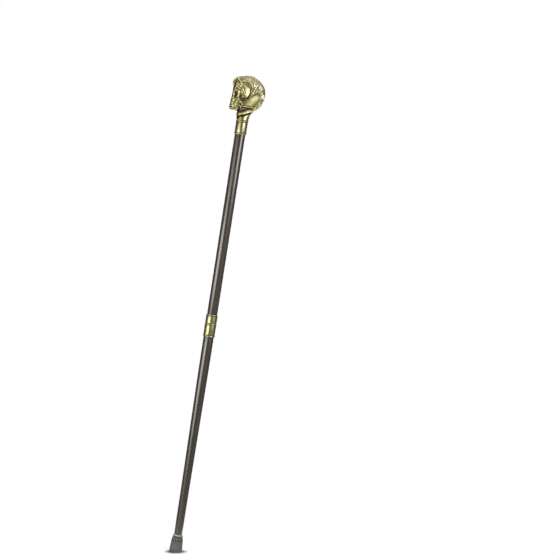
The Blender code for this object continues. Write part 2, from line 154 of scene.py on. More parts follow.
def metal_ageing_group():
    """Dark patina in hollows, a dull body colour between them and worn bright ridges, all broken up.

    Hollow also carries painted shade and painted highlight from the casting's marks, and the tarnish input
    carries painted shade as well.
    """
    tree, w, given, out = new_group(
        "metal_ageing",
        [
            ("Place", "NodeSocketVector", (0, 0, 0)),
            ("Hollow", "NodeSocketFloat", 0.5),
            ("Bright", "NodeSocketColor", (0.6, 0.5, 0.25, 1)),
            ("Body", "NodeSocketColor", (0.4, 0.33, 0.12, 1)),
            ("Patina", "NodeSocketColor", (0.03, 0.025, 0.015, 1)),
            ("Ageing", "NodeSocketFloat", 1.0),
            ("Polish", "NodeSocketFloat", 0.30),
            ("Tarnish_and_painted_shading", "NodeSocketFloat", 0.0),
            ("Streaks", "NodeSocketFloat", 0.5),
        ],
        [
            ("Color", "NodeSocketColor"),
            ("Roughness", "NodeSocketFloat"),
            ("Metallic", "NodeSocketFloat"),
            ("Lacquer", "NodeSocketFloat"),
            ("Height", "NodeSocketFloat"),
        ],
    )
    coarse = w.noise(given["Place"], 160.0, 4.0, 0.6)
    fine = w.noise(given["Place"], 900.0, 3.0, 0.6)
    worn = w.plus(w.times(coarse, 0.30), w.times(fine, 0.14))
    depth = w.plus(given["Hollow"], w.math("SUBTRACT", worn, 0.22))
    depth = w.math("SUBTRACT", depth, w.times(w.math("SUBTRACT", given["Streaks"], 0.5), 0.5))
    # Low depth gives worn bright ridges, and painted highlight where a mark lowers it; high depth gives
    # patina, and painted shade where a mark raises it
    rubbed_and_painted_highlight = w.ramp(depth, 0.46, 0.14)
    dark = w.times(w.ramp(depth, 0.54, 0.84), given["Ageing"], clamp=True)
    tinted = w.mix(w.ramp(coarse, 0.35, 0.75, 0.0, 0.22), given["Body"], (0.20, 0.17, 0.10, 1))
    # Tarnish haze, which also carries the casting's painted shade
    tarnish_haze_and_painted_shade = w.times(given["Tarnish_and_painted_shading"], w.ramp(coarse, 0.25, 0.6, 0.6, 1.0), clamp=True)
    tinted = w.mix(w.times(tarnish_haze_and_painted_shade, 0.95), tinted, (0.15, 0.118, 0.085, 1))
    body = w.mix(w.times(rubbed_and_painted_highlight, w.ramp(tarnish_haze_and_painted_shade, 0.0, 1.0, 1.0, 0.5)), tinted, given["Bright"])
    w.feed(out["Color"], w.mix(dark, body, given["Patina"]))
    rough = w.plus(w.ramp(depth, 0.15, 0.85, 0.0, 0.26), w.times(fine, 0.08))
    rough = w.plus(rough, w.times(tarnish_haze_and_painted_shade, 0.10))
    rough = w.plus(rough, given["Polish"])
    w.feed(out["Roughness"], rough)
    w.feed(out["Metallic"], w.ramp(dark, 0.0, 1.0, 1.0, 0.88))
    lacquer_left = w.times(w.ramp(dark, 0.0, 0.8, 1.0, 0.12), w.ramp(tarnish_haze_and_painted_shade, 0.0, 1.0, 1.0, 0.2))
    w.feed(out["Lacquer"], lacquer_left)
    w.feed(out["Height"], w.plus(w.times(coarse, 0.5), w.times(fine, 0.5)))
    return tree


def shading(name, surface):
    """A new material, its wiring and its Principled shader, which takes the given settings."""
    material = bpy.data.materials.new(name)
    material.use_nodes = True
    w = Wiring(material.node_tree)
    shader = w.add("ShaderNodeBsdfPrincipled", surface)
    output = w.add("ShaderNodeOutputMaterial", {"Surface": shader.outputs[0]})
    output.is_active_output = True
    return material, w, shader


def object_place(w):
    return w.add("ShaderNodeTexCoord").outputs["Object"]


def bumped(w, shader, height, strength, distance):
    bump = w.add("ShaderNodeBump", {"Height": height, "Strength": strength, "Distance": distance})
    w.feed(shader.inputs["Normal"], bump.outputs["Normal"])


def aged_brass(name, ageing, polish, bright, body, patina, rings):
    """Antiqued brass under clear lacquer.

    Rings is the strength of the fine marks that a lathe leaves round a turned piece. Without them it is the
    casting's brass, whose hair is silvery and finely streaked along its strands, hazed by tarnish and
    darkened by painted shade, and painted pale where the tarnish value falls below 0, as a painted
    highlight.
    """
    material, w, shader = shading(name, {"IOR": 1.5, "Coat IOR": 1.75, "Coat Roughness": 0.24})
    place = object_place(w)
    hollow = w.stored("hollow")
    inputs = {"Place": place, "Hollow": hollow, "Bright": bright, "Body": body, "Patina": patina}
    if not rings:
        strand = w.stored("strand", "Vector")
        hair = w.stored("hair")
        silvery = w.times(w.ramp(hair, 0.2, 0.9), w.ramp(w.noise(place, 90.0, 3.0), 0.3, 0.6, 0.35, 0.9))
        tarnish_and_painted_shading = w.stored("tarnish_and_painted_shading")
        # Below 0 the tarnish value paints the hair pale: a painted highlight along the mane's back edge
        pale = w.ramp(tarnish_and_painted_shading, 0.0, -1.0)
        silver_bright = w.mix(pale, (0.45, 0.415, 0.225, 1), (0.84, 0.79, 0.50, 1))
        inputs["Bright"] = w.mix(silvery, bright, silver_bright)
        silver_body = w.mix(pale, (0.33, 0.295, 0.12, 1), (0.68, 0.63, 0.36, 1))
        inputs["Body"] = w.mix(silvery, body, silver_body)
        fine_hair = w.noise(w.stretched(strand, (2.2, 0.12, 0.25)), 1.0, 3.0, 0.6)
        streaks = w.plus(w.times(w.math("SUBTRACT", fine_hair, 0.5), hair), 0.5)
        inputs["Tarnish_and_painted_shading"] = tarnish_and_painted_shading
        inputs["Streaks"] = streaks
    aged = w.add("ShaderNodeGroup", node_tree=groups["metal_ageing"])
    for label, value in inputs.items():
        w.feed(aged.inputs[label], value)
    aged.inputs["Ageing"].default_value = ageing
    aged.inputs["Polish"].default_value = polish
    w.feed(shader.inputs["Base Color"], aged.outputs["Color"])
    w.feed(shader.inputs["Roughness"], aged.outputs["Roughness"])
    w.feed(shader.inputs["Metallic"], aged.outputs["Metallic"])
    w.feed(shader.inputs["Coat Weight"], aged.outputs["Lacquer"])
    height = aged.outputs["Height"]
    if rings:
        marks = w.noise(w.stretched(place, (30.0, 30.0, 4200.0)), 1.0, 2.0)
        height = w.plus(w.times(height, 0.4), w.times(marks, rings))
    else:
        height = w.plus(w.times(height, 0.5), w.times(streaks, 2.0))
    bumped(w, shader, height, 0.35, 0.00012)
    return material


def black_lacquer():
    """Glossy near-black lacquer: faint long streaks in colour and gloss, and a slight orange peel."""
    material, w, shader = shading("black_lacquer", {"IOR": 1.5, "Coat Weight": 1.0, "Coat Roughness": 0.2})
    place = object_place(w)
    streaks = w.noise(w.stretched(place, (420.0, 420.0, 9.0)), 1.0, 4.0, 0.6)
    peel = w.noise(place, 700.0, 2.0)
    specks = w.noise(place, 2600.0, 2.0)
    colour = w.mix(w.ramp(streaks, 0.35, 0.72), (0.021, 0.017, 0.010, 1), (0.050, 0.038, 0.022, 1))
    w.feed(shader.inputs["Base Color"], colour)
    gloss = w.plus(w.ramp(streaks, 0.3, 0.75, 0.24, 0.32), w.times(specks, 0.05))
    w.feed(shader.inputs["Roughness"], gloss)
    bumped(w, shader, w.plus(w.times(peel, 0.6), w.times(streaks, 0.6)), 0.18, 0.0001)
    return material


def moulded_rubber():
    """Matt dark grey rubber with a fine moulded grain.

    Where it is hollow it is painted near black as shade, and where it is least hollow, as on the top of the
    tip's rim and its knobs, it is painted pale as a highlight.
    """
    material, w, shader = shading("moulded_rubber", {"IOR": 1.5, "Specular IOR Level": 0.4})
    place = object_place(w)
    hollow = w.stored("hollow")
    cloud = w.noise(place, 140.0, 4.0, 0.6)
    grain = w.noise(place, 2200.0, 2.0)
    plain = w.mix(w.ramp(cloud, 0.35, 0.7), (0.066, 0.062, 0.055, 1), (0.092, 0.088, 0.078, 1))
    # Painted shade: the hollows go near black. Painted highlight: the least hollow places go pale
    painted_shade_in_hollows = w.mix(w.ramp(hollow, 0.58, 0.90, 0.0, 1.0), plain, (0.012, 0.010, 0.008, 1))
    rubbed_and_painted_highlight = w.mix(w.ramp(hollow, 0.40, 0.04, 0.0, 0.9), painted_shade_in_hollows, (0.36, 0.335, 0.285, 1))
    w.feed(shader.inputs["Base Color"], rubbed_and_painted_highlight)
    w.feed(shader.inputs["Roughness"], w.ramp(cloud, 0.3, 0.7, 0.52, 0.68))
    bumped(w, shader, w.plus(w.times(grain, 0.5), cloud), 0.25, 0.0002)
    return material


def zinc_plate():
    """Zinc-plated steel: a cool grey with soft cloudy patches and fine scratches along the stud."""
    material, w, shader = shading("zinc_plate", {"Metallic": 1.0})
    place = object_place(w)
    cloud = w.noise(place, 260.0, 4.0, 0.6)
    scratches = w.noise(w.stretched(place, (2200.0, 2200.0, 160.0)), 1.0, 2.0)
    w.feed(shader.inputs["Base Color"], w.mix(cloud, (0.52, 0.53, 0.53, 1), (0.68, 0.68, 0.66, 1)))
    w.feed(shader.inputs["Roughness"], w.ramp(cloud, 0.3, 0.7, 0.28, 0.42))
    bumped(w, shader, scratches, 0.2, 0.00005)
    return material


def vulcanised_fibre():
    """Brick-red pressed fibre with a mottled, slightly fuzzy face."""
    material, w, shader = shading("vulcanised_fibre", {"IOR": 1.45})
    place = object_place(w)
    mottle = w.noise(place, 900.0, 4.0, 0.7)
    w.feed(shader.inputs["Base Color"], w.mix(mottle, (0.20, 0.055, 0.028, 1), (0.36, 0.13, 0.07, 1)))
    w.feed(shader.inputs["Roughness"], w.ramp(mottle, 0.3, 0.7, 0.6, 0.8))
    bumped(w, shader, mottle, 0.3, 0.0001)
    return material


def studio_floor():
    """White floor that fades into the white surround away from the cane, and keeps the cane's shadow.

    Round the tip, a soft dark oval of painted shadow is drawn into its colour.
    """
    material = bpy.data.materials.new("studio_floor")
    material.use_nodes = True
    w = Wiring(material.node_tree)
    place = object_place(w)
    apart = w.add("ShaderNodeVectorMath", {0: place}, operation="LENGTH").outputs["Value"]
    # Painted shadow: a soft dark oval round the tip, turned and stretched in the floor's plane, darkest next
    # to the tip
    turned_place = w.add("ShaderNodeVectorRotate", {"Vector": place, "Angle": math.radians(-55.0)},
                         rotation_type="Z_AXIS").outputs["Vector"]
    painted_shadow_patch = w.stretched(turned_place, (31.0, 66.0, 1.0))
    oval = w.add("ShaderNodeVectorMath", {0: painted_shadow_patch}, operation="LENGTH")
    shade = w.mix(w.ramp(oval.outputs["Value"], 0.42, 1.25), (0.07, 0.07, 0.075, 1), (0.95, 0.95, 0.95, 1))
    paint = w.add("ShaderNodeBsdfDiffuse", {"Color": shade})
    clear = w.add("ShaderNodeBsdfTransparent")
    faded = w.add("ShaderNodeMixShader",
                  {0: w.ramp(apart, 0.06, 0.35), 1: paint.outputs[0], 2: clear.outputs[0]})
    w.add("ShaderNodeOutputMaterial", {"Surface": faded.outputs[0]})
    return material


def add_floor():
    points = [(-1.2, -1.2, 0), (1.2, -1.2, 0), (1.2, 1.2, 0), (-1.2, 1.2, 0)]
    mesh = bpy.data.meshes.new("floor")
    mesh.from_pydata(points, [], [(0, 1, 2, 3)])
    floor = bpy.data.objects.new("floor", mesh)
    floor.data.materials.append(studio_floor())
    bpy.context.scene.collection.objects.link(floor)


def add_world():
    """Even light for matt surfaces.

    The camera sees white, and shiny surfaces see a dim room with a pale ceiling.
    """
    world = bpy.data.worlds.new("studio")
    bpy.context.scene.world = world
    world.use_nodes = True
    w = Wiring(world.node_tree)
    rays = w.add("ShaderNodeLightPath").outputs
    seen = w.math("MAXIMUM", rays["Is Camera Ray"], rays["Is Transmission Ray"])
    around = w.add("ShaderNodeTexCoord").outputs["Generated"]
    parts = w.add("ShaderNodeSeparateXYZ", {0: around}).outputs
    azimuth = w.math("ARCTAN2", parts["X"], w.times(parts["Y"], -1.0))
    right_wall = w.times(w.ramp(azimuth, 0.15, 0.5), w.ramp(azimuth, 1.5, 1.9, 1.0, 0.0))
    ceiling = w.ramp(parts["Z"], 0.35, 0.8)
    ground = w.ramp(parts["Z"], -0.5, -0.1, 1.0, 0.0)
    level = w.plus(w.times(right_wall, 0.20), w.times(ceiling, 0.8))
    level = w.plus(level, w.times(ground, 0.2))
    level = w.plus(level, 0.06)
    room = w.add("ShaderNodeBackground", {"Color": (1, 1, 1, 1), "Strength": 0.72})
    white = w.add("ShaderNodeBackground", {"Color": (1, 1, 1, 1), "Strength": 1.0})
    mirrored_room = w.add("ShaderNodeBackground", {"Color": (1, 1, 1, 1), "Strength": level})
    glossy = w.add("ShaderNodeMixShader",
                   {0: rays["Is Glossy Ray"], 1: room.outputs[0], 2: mirrored_room.outputs[0]})
    both = w.add("ShaderNodeMixShader", {0: seen, 1: glossy.outputs[0], 2: white.outputs[0]})
    w.add("ShaderNodeOutputWorld", {"Surface": both.outputs[0]})


# Name, azimuth from the camera in degrees, distance, lowest and highest point, width, and radiance
SOFTBOXES = (
    ("left_softbox", -43.0, 1.9, -0.07, 0.48, 1.5, 6.4),
    ("left_upper_softbox", -43.0, 1.9, 0.48, 1.0, 1.5, 2.1),
    ("right_softbox", 47.0, 1.9, 0.69, 1.75, 1.0, 6.6),
    ("top_left_softbox", -48.0, 1.5, 1.5, 2.7, 2.1, 2.8),
    ("back_softbox", 180.0, 1.9, 0.1, 1.6, 1.1, 3.0),
)


def add_softbox(name, azimuth, distance, low, high, width, radiance):
    """An upright area lamp at an azimuth from the camera, between two heights, facing the cane's axis."""
    data = bpy.data.lights.new(name, "AREA")
    data.shape = "RECTANGLE"
    data.size = width
    data.size_y = high - low
    data.energy = radiance * math.pi * width * (high - low)
    lamp = bpy.data.objects.new(name, data)
    bpy.context.scene.collection.objects.link(lamp)
    turn = math.radians(azimuth)
    lamp.location = (distance * math.sin(turn), -distance * math.cos(turn), (low + high) / 2)
    facing = Vector((-lamp.location.x, -lamp.location.y, 0))
    lamp.rotation_mode = "QUATERNION"
    lamp.rotation_quaternion = facing.to_track_quat("-Z", "Y")
    lamp.visible_camera = False


# Shapes


def through(knots, values, at):
    """Smooth curve through the values.

    Between two knots it is a cubic whose slope at each knot is the mean of the slopes of the chords there.
    """
    knots = np.asarray(knots, float)
    values = np.asarray(values, float)
    at = np.clip(np.asarray(at, float), knots[0], knots[-1])
    spread = (-1,) + (1,) * (values.ndim - 1)
    gap = np.diff(knots)
    chord = np.diff(values, axis=0) / gap.reshape(spread)
    slope = np.concatenate([chord[:1], (chord[1:] + chord[:-1]) / 2, chord[-1:]])
    cell = np.clip(np.searchsorted(knots, at, side="right") - 1, 0, len(gap) - 1)
    t = ((at - knots[cell]) / gap[cell]).reshape(spread)
    g = gap[cell].reshape(spread)
    before, after = values[cell], values[cell + 1]
    return (
        (1 + 2 * t) * (1 - t) ** 2 * before
        + t * (1 - t) ** 2 * g * slope[cell]
        + t * t * (3 - 2 * t) * after
        + t * t * (t - 1) * g * slope[cell + 1]
    )


def curve(points, count):
    """Evenly spread points along the smooth curve through these points, by the length of its chords."""
    points = np.asarray(points, float)
    lengths = np.concatenate([[0], np.cumsum(np.linalg.norm(np.diff(points, axis=0), axis=1))])
    dense = through(lengths, points, np.linspace(0, lengths[-1], 12 * len(points)))
    run = np.concatenate([[0], np.cumsum(np.linalg.norm(np.diff(dense, axis=0), axis=1))])
    even = np.linspace(0, run[-1], count)
    return np.stack([np.interp(even, run, dense[:, axis]) for axis in range(points.shape[1])], 1)


def quarter(share):
    """Height of a quarter circle: 0 at share 0, and 1 from share 1 on."""
    return np.sqrt(1 - (1 - np.clip(share, 0, 1)) ** 2)


def unit(vectors):
    return vectors / np.maximum(np.linalg.norm(vectors, axis=-1, keepdims=True), 1e-12)


def grid_faces(rows, columns, wrap_rows=False):
    """Quads of a grid of points whose rows are closed rings; wrap_rows joins the last ring to the first."""
    row = np.arange(rows if wrap_rows else rows - 1)
    i, j = np.meshgrid(row, np.arange(columns), indexing="ij")
    up, across = (i + 1) % rows, (j + 1) % columns
    corners = [i * columns + j, i * columns + across, up * columns + across, up * columns + j]
    return np.stack([c.ravel() for c in corners], 1)


def add_mesh(name, points, faces):
    """One smooth object at the origin from arrays of points and quads: doubles merged and faces outwards."""
    mesh = bpy.data.meshes.new(name)
    mesh.from_pydata(np.asarray(points, float).tolist(), [], np.asarray(faces).tolist())
    piece = bpy.data.objects.new(name, mesh)
    bpy.context.scene.collection.objects.link(piece)
    bpy.context.view_layer.objects.active = piece
    bpy.ops.object.select_all(action="DESELECT")
    piece.select_set(True)
    bpy.ops.object.mode_set(mode="EDIT")
    bpy.ops.mesh.select_all(action="SELECT")
    bpy.ops.mesh.remove_doubles(threshold=1e-6)
    bpy.ops.mesh.normals_make_consistent(inside=False)
    bpy.ops.object.mode_set(mode="OBJECT")
    mesh.polygons.foreach_set("use_smooth", np.ones(len(mesh.polygons), bool))
    return piece


def swept(path, normal, width, height, around, ridges=0, depth=0.0):
    """An oval carried along a path.

    Its half width lies across the path and its half height along the normal, and both swell by depth times
    the cosine of ridges times the angle round it, which makes lengthwise ridges.
    """
    tangent = unit(np.gradient(path, axis=0))
    side = unit(np.cross(tangent, normal))
    up = np.cross(side, tangent)
    angle = np.linspace(0, 2 * np.pi, around, endpoint=False)
    swell = 1 + depth * np.cos(ridges * angle)
    across = (width[:, None] * (np.cos(angle) * swell))[..., None]
    above = (height[:, None] * np.sin(angle) * swell)[..., None]
    points = path[:, None] + side[:, None] * across + up[:, None] * above
    return points.reshape(-1, 3), grid_faces(len(path), around)


def joined(parts):
    """Several (points, faces) as one."""
    starts = np.cumsum([0] + [len(points) for points, _ in parts])
    points = np.concatenate([points for points, _ in parts])
    return points, np.concatenate([faces + start for (_, faces), start in zip(parts, starts)])


def mirrored(part):
    """The same part on the other side of the plane y = 0, with its faces turned to point outwards."""
    points, faces = part
    return points * (1, -1, 1), faces[:, ::-1]


def both_sides(parts):
    return list(parts) + [mirrored(part) for part in parts]


def ball(centre, radii):
    """An ellipsoid: a half circle turned round its upright axis, with its own radius each way."""
    rise = np.linspace(-np.pi / 2, np.pi / 2, 14)[:, None]
    turn = np.linspace(0, 2 * np.pi, 20, endpoint=False)[None]
    shape = np.broadcast_arrays(np.cos(rise) * np.cos(turn), np.cos(rise) * np.sin(turn), np.sin(rise))
    return (np.stack(shape, -1) * radii + centre).reshape(-1, 3), grid_faces(14, 20)


# Cast horse head, in millimetres

# Height, front and back of the head, then half its thickness at HEAD_SHARES of the way from front to back
HEAD_SHARES = (0.08, 0.20, 0.32, 0.44, 0.56, 0.74, 0.92)
HEAD_ROWS = np.array((
    (13.8, -24.6, -12.6, 3.5, 4.2, 4.8, 5.0, 4.8, 4.2, 3.5),
    (15.6, -28.4, -11.6, 6.0, 7.2, 7.8, 8.0, 7.8, 7.2, 6.0),
    (18.2, -29.4, -11.2, 7.2, 8.6, 9.0, 9.0, 8.8, 8.4, 7.2),
    (21.5, -29.3, -11.0, 7.4, 9.2, 9.4, 9.2, 9.0, 8.8, 7.8),
    (25.0, -28.9, -9.6, 7.4, 8.6, 9.0, 9.2, 9.6, 9.6, 8.8),
    (29.0, -28.7, -8.6, 7.4, 8.6, 9.1, 9.4, 10.0, 10.6, 9.8),
    (33.0, -28.6, -8.0, 7.8, 8.9, 9.4, 10.2, 11.4, 13.0, 12.0),
    (36.5, -28.4, -3.2, 8.6, 9.3, 10.9, 12.4, 14.2, 15.6, 14.6),
    (40.0, -28.1, 0.8, 9.0, 9.0, 11.5, 13.2, 15.4, 16.8, 15.2),
    (45.0, -28.0, 4.0, 9.6, 9.2, 12.2, 14.1, 16.3, 17.0, 14.8),
    (50.0, -28.3, 5.5, 10.2, 10.2, 12.9, 14.8, 16.5, 16.4, 14.0),
    (55.0, -28.4, 5.8, 10.8, 12.0, 13.9, 15.4, 16.2, 15.7, 13.1),
    (60.0, -28.4, 5.0, 11.4, 13.4, 14.7, 15.4, 15.7, 14.8, 12.2),
    (65.0, -28.0, 1.2, 11.2, 12.6, 13.6, 14.5, 14.8, 13.9, 11.6),
    (69.0, -26.8, -2.4, 10.0, 11.2, 12.0, 12.4, 12.5, 12.0, 10.9),
    (73.0, -24.8, -5.0, 8.6, 9.4, 10.0, 10.4, 10.6, 10.4, 9.4),
    (76.2, -21.4, -8.0, 6.5, 7.0, 7.2, 7.4, 7.5, 7.0, 6.5),
))
# Height, place and reach each way of the eye's socket, the hollow beside the nose bone, the groove of the
# muzzle and the swell of the nostril
FACE_HILLS = (
    (-2.2, (-15.6, 58.2), (4.2, 2.6)), (-1.3, (-20.6, 44.5), (2.4, 5.6)),
    (-0.5, (-19.8, 29.0), (1.5, 4.5)), (0.8, (-25.6, 20.6), (2.6, 2.8)),
)
FRONT_ROUND = 6.4
# The front of the nose and half its width where the noseband crosses it
NOSE_FRONT = -28.4
NOSE_HALF_WIDTH = 9.1
JAW_ROUND = 2.4

# The neck's outline from the poll round the crest and down the lip at its cut end, and its hidden front line
CREST = (
    (-16.8, 77.2), (-14.3, 78.5), (-11.4, 79.6), (-7.4, 80.9), (-3.0, 81.7), (3.0, 81.8), (9.0, 80.3),
    (14.5, 77.7), (20.0, 74.3), (24.6, 70.5), (28.2, 66.2), (30.6, 61.8), (32.3, 57.0), (33.4, 52.2),
    (33.7, 48.4), (33.3, 44.8), (32.7, 41.4), (32.1, 39.0),
)
LIP = (
    (32.1, 39.0), (31.5, 36.0), (31.0, 32.6), (30.0, 29.4), (27.7, 25.6), (24.4, 22.0), (20.2, 18.9),
    (15.4, 16.3), (10.6, 14.2), (6.7, 12.1), (2.0, 10.0), (-2.9, 8.2), (-7.0, 7.0), (-10.5, 6.2),
    (-13.2, 6.0),
)
NECK_FRONT = (
    (-16.8, 77.2), (-13.6, 60.0), (-11.0, 42.0), (-11.4, 28.0), (-12.2, 18.0), (-13.0, 12.0), (-13.4, 8.4),
    (-13.2, 6.0),
)
CREST_ROUND = 9.5
LIP_ROUND = 1.1
NAPE_ROUND = 6.5
FRONT_LINE_ROUND = 7.0
# Height, then half the neck's thickness away from its rounded edges
NECK_WIDTHS = np.array((
    (5.0, 12.2), (12.0, 12.4), (20.0, 12.8), (30.0, 13.8), (42.0, 14.6), (55.0, 14.4), (66.0, 13.4),
    (74.0, 12.0), (80.0, 10.0), (83.0, 9.0),
))
THROAT_DEPTH = 6.4
LIP_FLARE = 3.2
LIP_FLARE_REACH = 3.6
# Height, front, back and half width of the stem
STEM_ROWS = np.array((
    (-1.6, -11.5, 11.5, 11.5), (1.0, -11.7, 11.6, 11.4), (4.0, -12.3, 12.0, 10.8), (8.0, -12.5, 12.7, 9.8),
    (12.0, -11.8, 14.4, 9.2), (16.0, -11.0, 17.4, 8.8), (20.0, -10.2, 20.0, 8.2), (25.0, -9.0, 22.0, 6.5),
))

crest_line = curve(CREST, 240)
lip_line = curve(LIP, 200)
front_line = curve(NECK_FRONT, 160)


def near(x, z, centre, reach):
    """A soft hill of height 1 over a point of the side view, reach wide each way."""
    return np.exp(-(((x - centre[0]) / reach[0]) ** 2 + ((z - centre[1]) / reach[1]) ** 2))


def head_half_width(x, z):
    """Half the head's thickness at a point of its side view.

    HEAD_ROWS are read smoothly upwards and across, soft hills are added or taken away, and quarter circles
    roll it off at its edges.
    """
    shape = x.shape
    x, z = x.ravel(), z.ravel()
    rows = through(HEAD_ROWS[:, 0], HEAD_ROWS[:, 1:], z)
    front, back, widths = rows[:, 0], rows[:, 1], rows[:, 2:]
    share = (x - front) / (back - front)
    blend = through(HEAD_SHARES, np.eye(len(HEAD_SHARES)), share)
    width = (blend * widths).sum(1)
    for height, centre, reach in FACE_HILLS:
        width = width + height * near(x, z, centre, reach)
    edge = quarter((x - front) / FRONT_ROUND) * quarter((back - x) / JAW_ROUND)
    edge = edge * quarter((z - HEAD_ROWS[0, 0]) / 3.0) * quarter((HEAD_ROWS[-1, 0] - z) / 6.0)
    inside = (z >= HEAD_ROWS[0, 0]) & (z <= HEAD_ROWS[-1, 0])
    return np.where(inside, np.maximum(width, 0) * edge, 0).reshape(shape)


def distance_to(line, x, z):
    """Shortest distance in the side view from each point to a line of close points."""
    apart = (x.ravel()[:, None] - line[None, :, 0]) ** 2 + (z.ravel()[:, None] - line[None, :, 1]) ** 2
    return np.sqrt(apart.min(1)).reshape(x.shape)


def step_between(value, start, end):
    """0 before start, 1 after end and a smooth cubic step between them."""
    t = np.clip((value - start) / (end - start), 0, 1)
    return t * t * (3 - 2 * t)


def neck_half_width(x, z):
    """Half the neck's thickness at a point of its side view.

    NECK_WIDTHS by height, less the throat's hollow, flared at the lip, and rounded off at its outline.
    """
    width = through(NECK_WIDTHS[:, 0], NECK_WIDTHS[:, 1], z.ravel()).reshape(z.shape)
    to_lip = distance_to(lip_line, x, z)
    towards_throat = step_between(0.594 * z - 0.804 * x, 5.0, 20.0) * step_between(z, 5.0, 20.0)
    towards_throat = towards_throat * (1 - step_between(z, 46.0, 68.0))
    width = width - THROAT_DEPTH * towards_throat - 0.4 * near(x, z, (9.0, 54.0), (4.5, 9.0))
    width = width + LIP_FLARE * np.exp(-((to_lip / LIP_FLARE_REACH) ** 2))
    width = width - 1.3 * near(x, z, (12.0, 22.0), (10.0, 2.4))
    lip_round = LIP_ROUND + (NAPE_ROUND - LIP_ROUND) * step_between(z, 15.0, 34.0)
    edge = quarter(distance_to(crest_line, x, z) / CREST_ROUND) * quarter(to_lip / lip_round)
    return width * edge * quarter(distance_to(front_line, x, z) / FRONT_LINE_ROUND)


def sheet_pair(half_width, heights, front, back, columns):
    """A closed shape from its side view.

    At each height a ring runs from front to back at half the thickness, and back again at minus half of it.
    """
    turn = np.linspace(0, np.pi, columns)
    share = (1 - np.cos(turn)) / 2
    x = front[:, None] + (back - front)[:, None] * share[None]
    z = np.repeat(heights[:, None], columns, 1)
    y = half_width(x, z)
    y[:, 0] = 0
    y[:, -1] = 0
    near_side = np.stack([x, y, z], -1)
    far_side = np.stack([x, -y, z], -1)[:, -2:0:-1]
    ring = np.concatenate([near_side, far_side], 1)
    ring[0, :, 1] = 0
    ring[-1, :, 1] = 0
    return ring.reshape(-1, 3), grid_faces(len(heights), ring.shape[1])


def spaced(low, high, count):
    """Heights that crowd towards both ends, as the cosine of an even turn does."""
    return low + (high - low) * (1 - np.cos(np.linspace(0, np.pi, count))) / 2


def head_volume():
    heights = spaced(HEAD_ROWS[0, 0], HEAD_ROWS[-1, 0], 150)
    ends = through(HEAD_ROWS[:, 0], HEAD_ROWS[:, 1:3], heights)
    return sheet_pair(head_half_width, heights, ends[:, 0], ends[:, 1], 120)


def neck_volume():
    """The neck between its front line and the crest, with the lip as its lower edge."""
    top = crest_line[:, 1].argmax()
    heights = spaced(lip_line[-1, 1] + 0.01, crest_line[top, 1] - 0.01, 260)
    falling = np.concatenate([lip_line[::-1], crest_line[top:-1][::-1]])
    rising = np.concatenate([front_line[::-1], crest_line[1:top + 1]])
    back = np.interp(heights, falling[:, 1], falling[:, 0])
    front = np.interp(heights, rising[:, 1], rising[:, 0])
    return sheet_pair(neck_half_width, heights, front, back, 170)


def stem_shape(z):
    """Centre, reach and half width of the stem at each height, smoothly through STEM_ROWS."""
    rows = through(STEM_ROWS[:, 0], STEM_ROWS[:, 1:], z)
    return (rows[:, 0] + rows[:, 1]) / 2, (rows[:, 1] - rows[:, 0]) / 2, rows[:, 2]


def stem_half_width(x, z):
    """Half the stem's thickness at a point of its side view: that of its oval ring there."""
    centre, reach, half = stem_shape(z.ravel())
    return (half * np.sqrt(np.maximum(1 - ((x.ravel() - centre) / reach) ** 2, 0))).reshape(x.shape)


def stem_volume():
    """Oval rings up the stem, closed by a flat face at each end."""
    heights = np.linspace(STEM_ROWS[0, 0], STEM_ROWS[-1, 0], 60)
    centre, reach, half = stem_shape(heights)
    shut = np.ones(60)
    shut[[0, -1]] = 0
    turn = np.linspace(0, 2 * np.pi, 90, endpoint=False)
    x = centre[:, None] + (shut * reach)[:, None] * np.cos(turn)
    y = (shut * half)[:, None] * np.sin(turn)
    z = np.repeat(heights[:, None], 90, 1)
    z[0], z[-1] = z[1] - 0.02, z[-2] + 0.02
    return np.stack([x, y, z], -1).reshape(-1, 3), grid_faces(60, 90)


def on_surface(half_width, points, lift):
    """Points of the side view on a surface y = half_width(x, z), lifted along its normals, with those."""
    x, z = points[:, 0], points[:, 1]
    step = 0.35
    slope_x = (half_width(x + step, z) - half_width(x - step, z)) / (2 * step)
    slope_z = (half_width(x, z + step) - half_width(x, z - step)) / (2 * step)
    slope_x, slope_z = np.clip(slope_x, -3, 3), np.clip(slope_z, -3, 3)
    normal = unit(np.stack([-slope_x, np.ones_like(x), -slope_z], 1))
    place = np.stack([x, half_width(x, z), z], 1)
    return place + normal * np.reshape(lift, (-1, 1)), normal


def either_half_width(x, z):
    """Whichever of the head and the neck stands further out."""
    return np.maximum(head_half_width(x, z), neck_half_width(x, z))


# The surfaces that locks, bars, lumps and marks lie on
on_head, on_neck, on_stem, on_either = head_half_width, neck_half_width, stem_half_width, either_half_width


# The path, the normal and the reach of every lock of hair, kept for mark_hair
hair_paths = []
# A bar's first and last rings keep at least this radius, so that they stay open
THIN = 0.02
BAR_STEPS = 50
BAR_SIDES = 20
LOCK_SIDES = 34


def lock(points, width, height, lift, surface=on_neck, ridges=5, depth=0.12, blunt=0.35, count=54):
    """A lock of hair on a surface: a ridged oval along a curve, which swells and narrows to its tip."""
    line = curve(points, count)
    t = np.linspace(0, 1, count)
    swell = quarter(t / blunt) * (1 - t ** 2.4) ** 0.75
    place, normal = on_surface(surface, line, lift)
    hair_paths.append((place, normal, 1.25 * width))
    return swept(place, normal, width * swell + THIN, height * swell + THIN, LOCK_SIDES, ridges, depth)


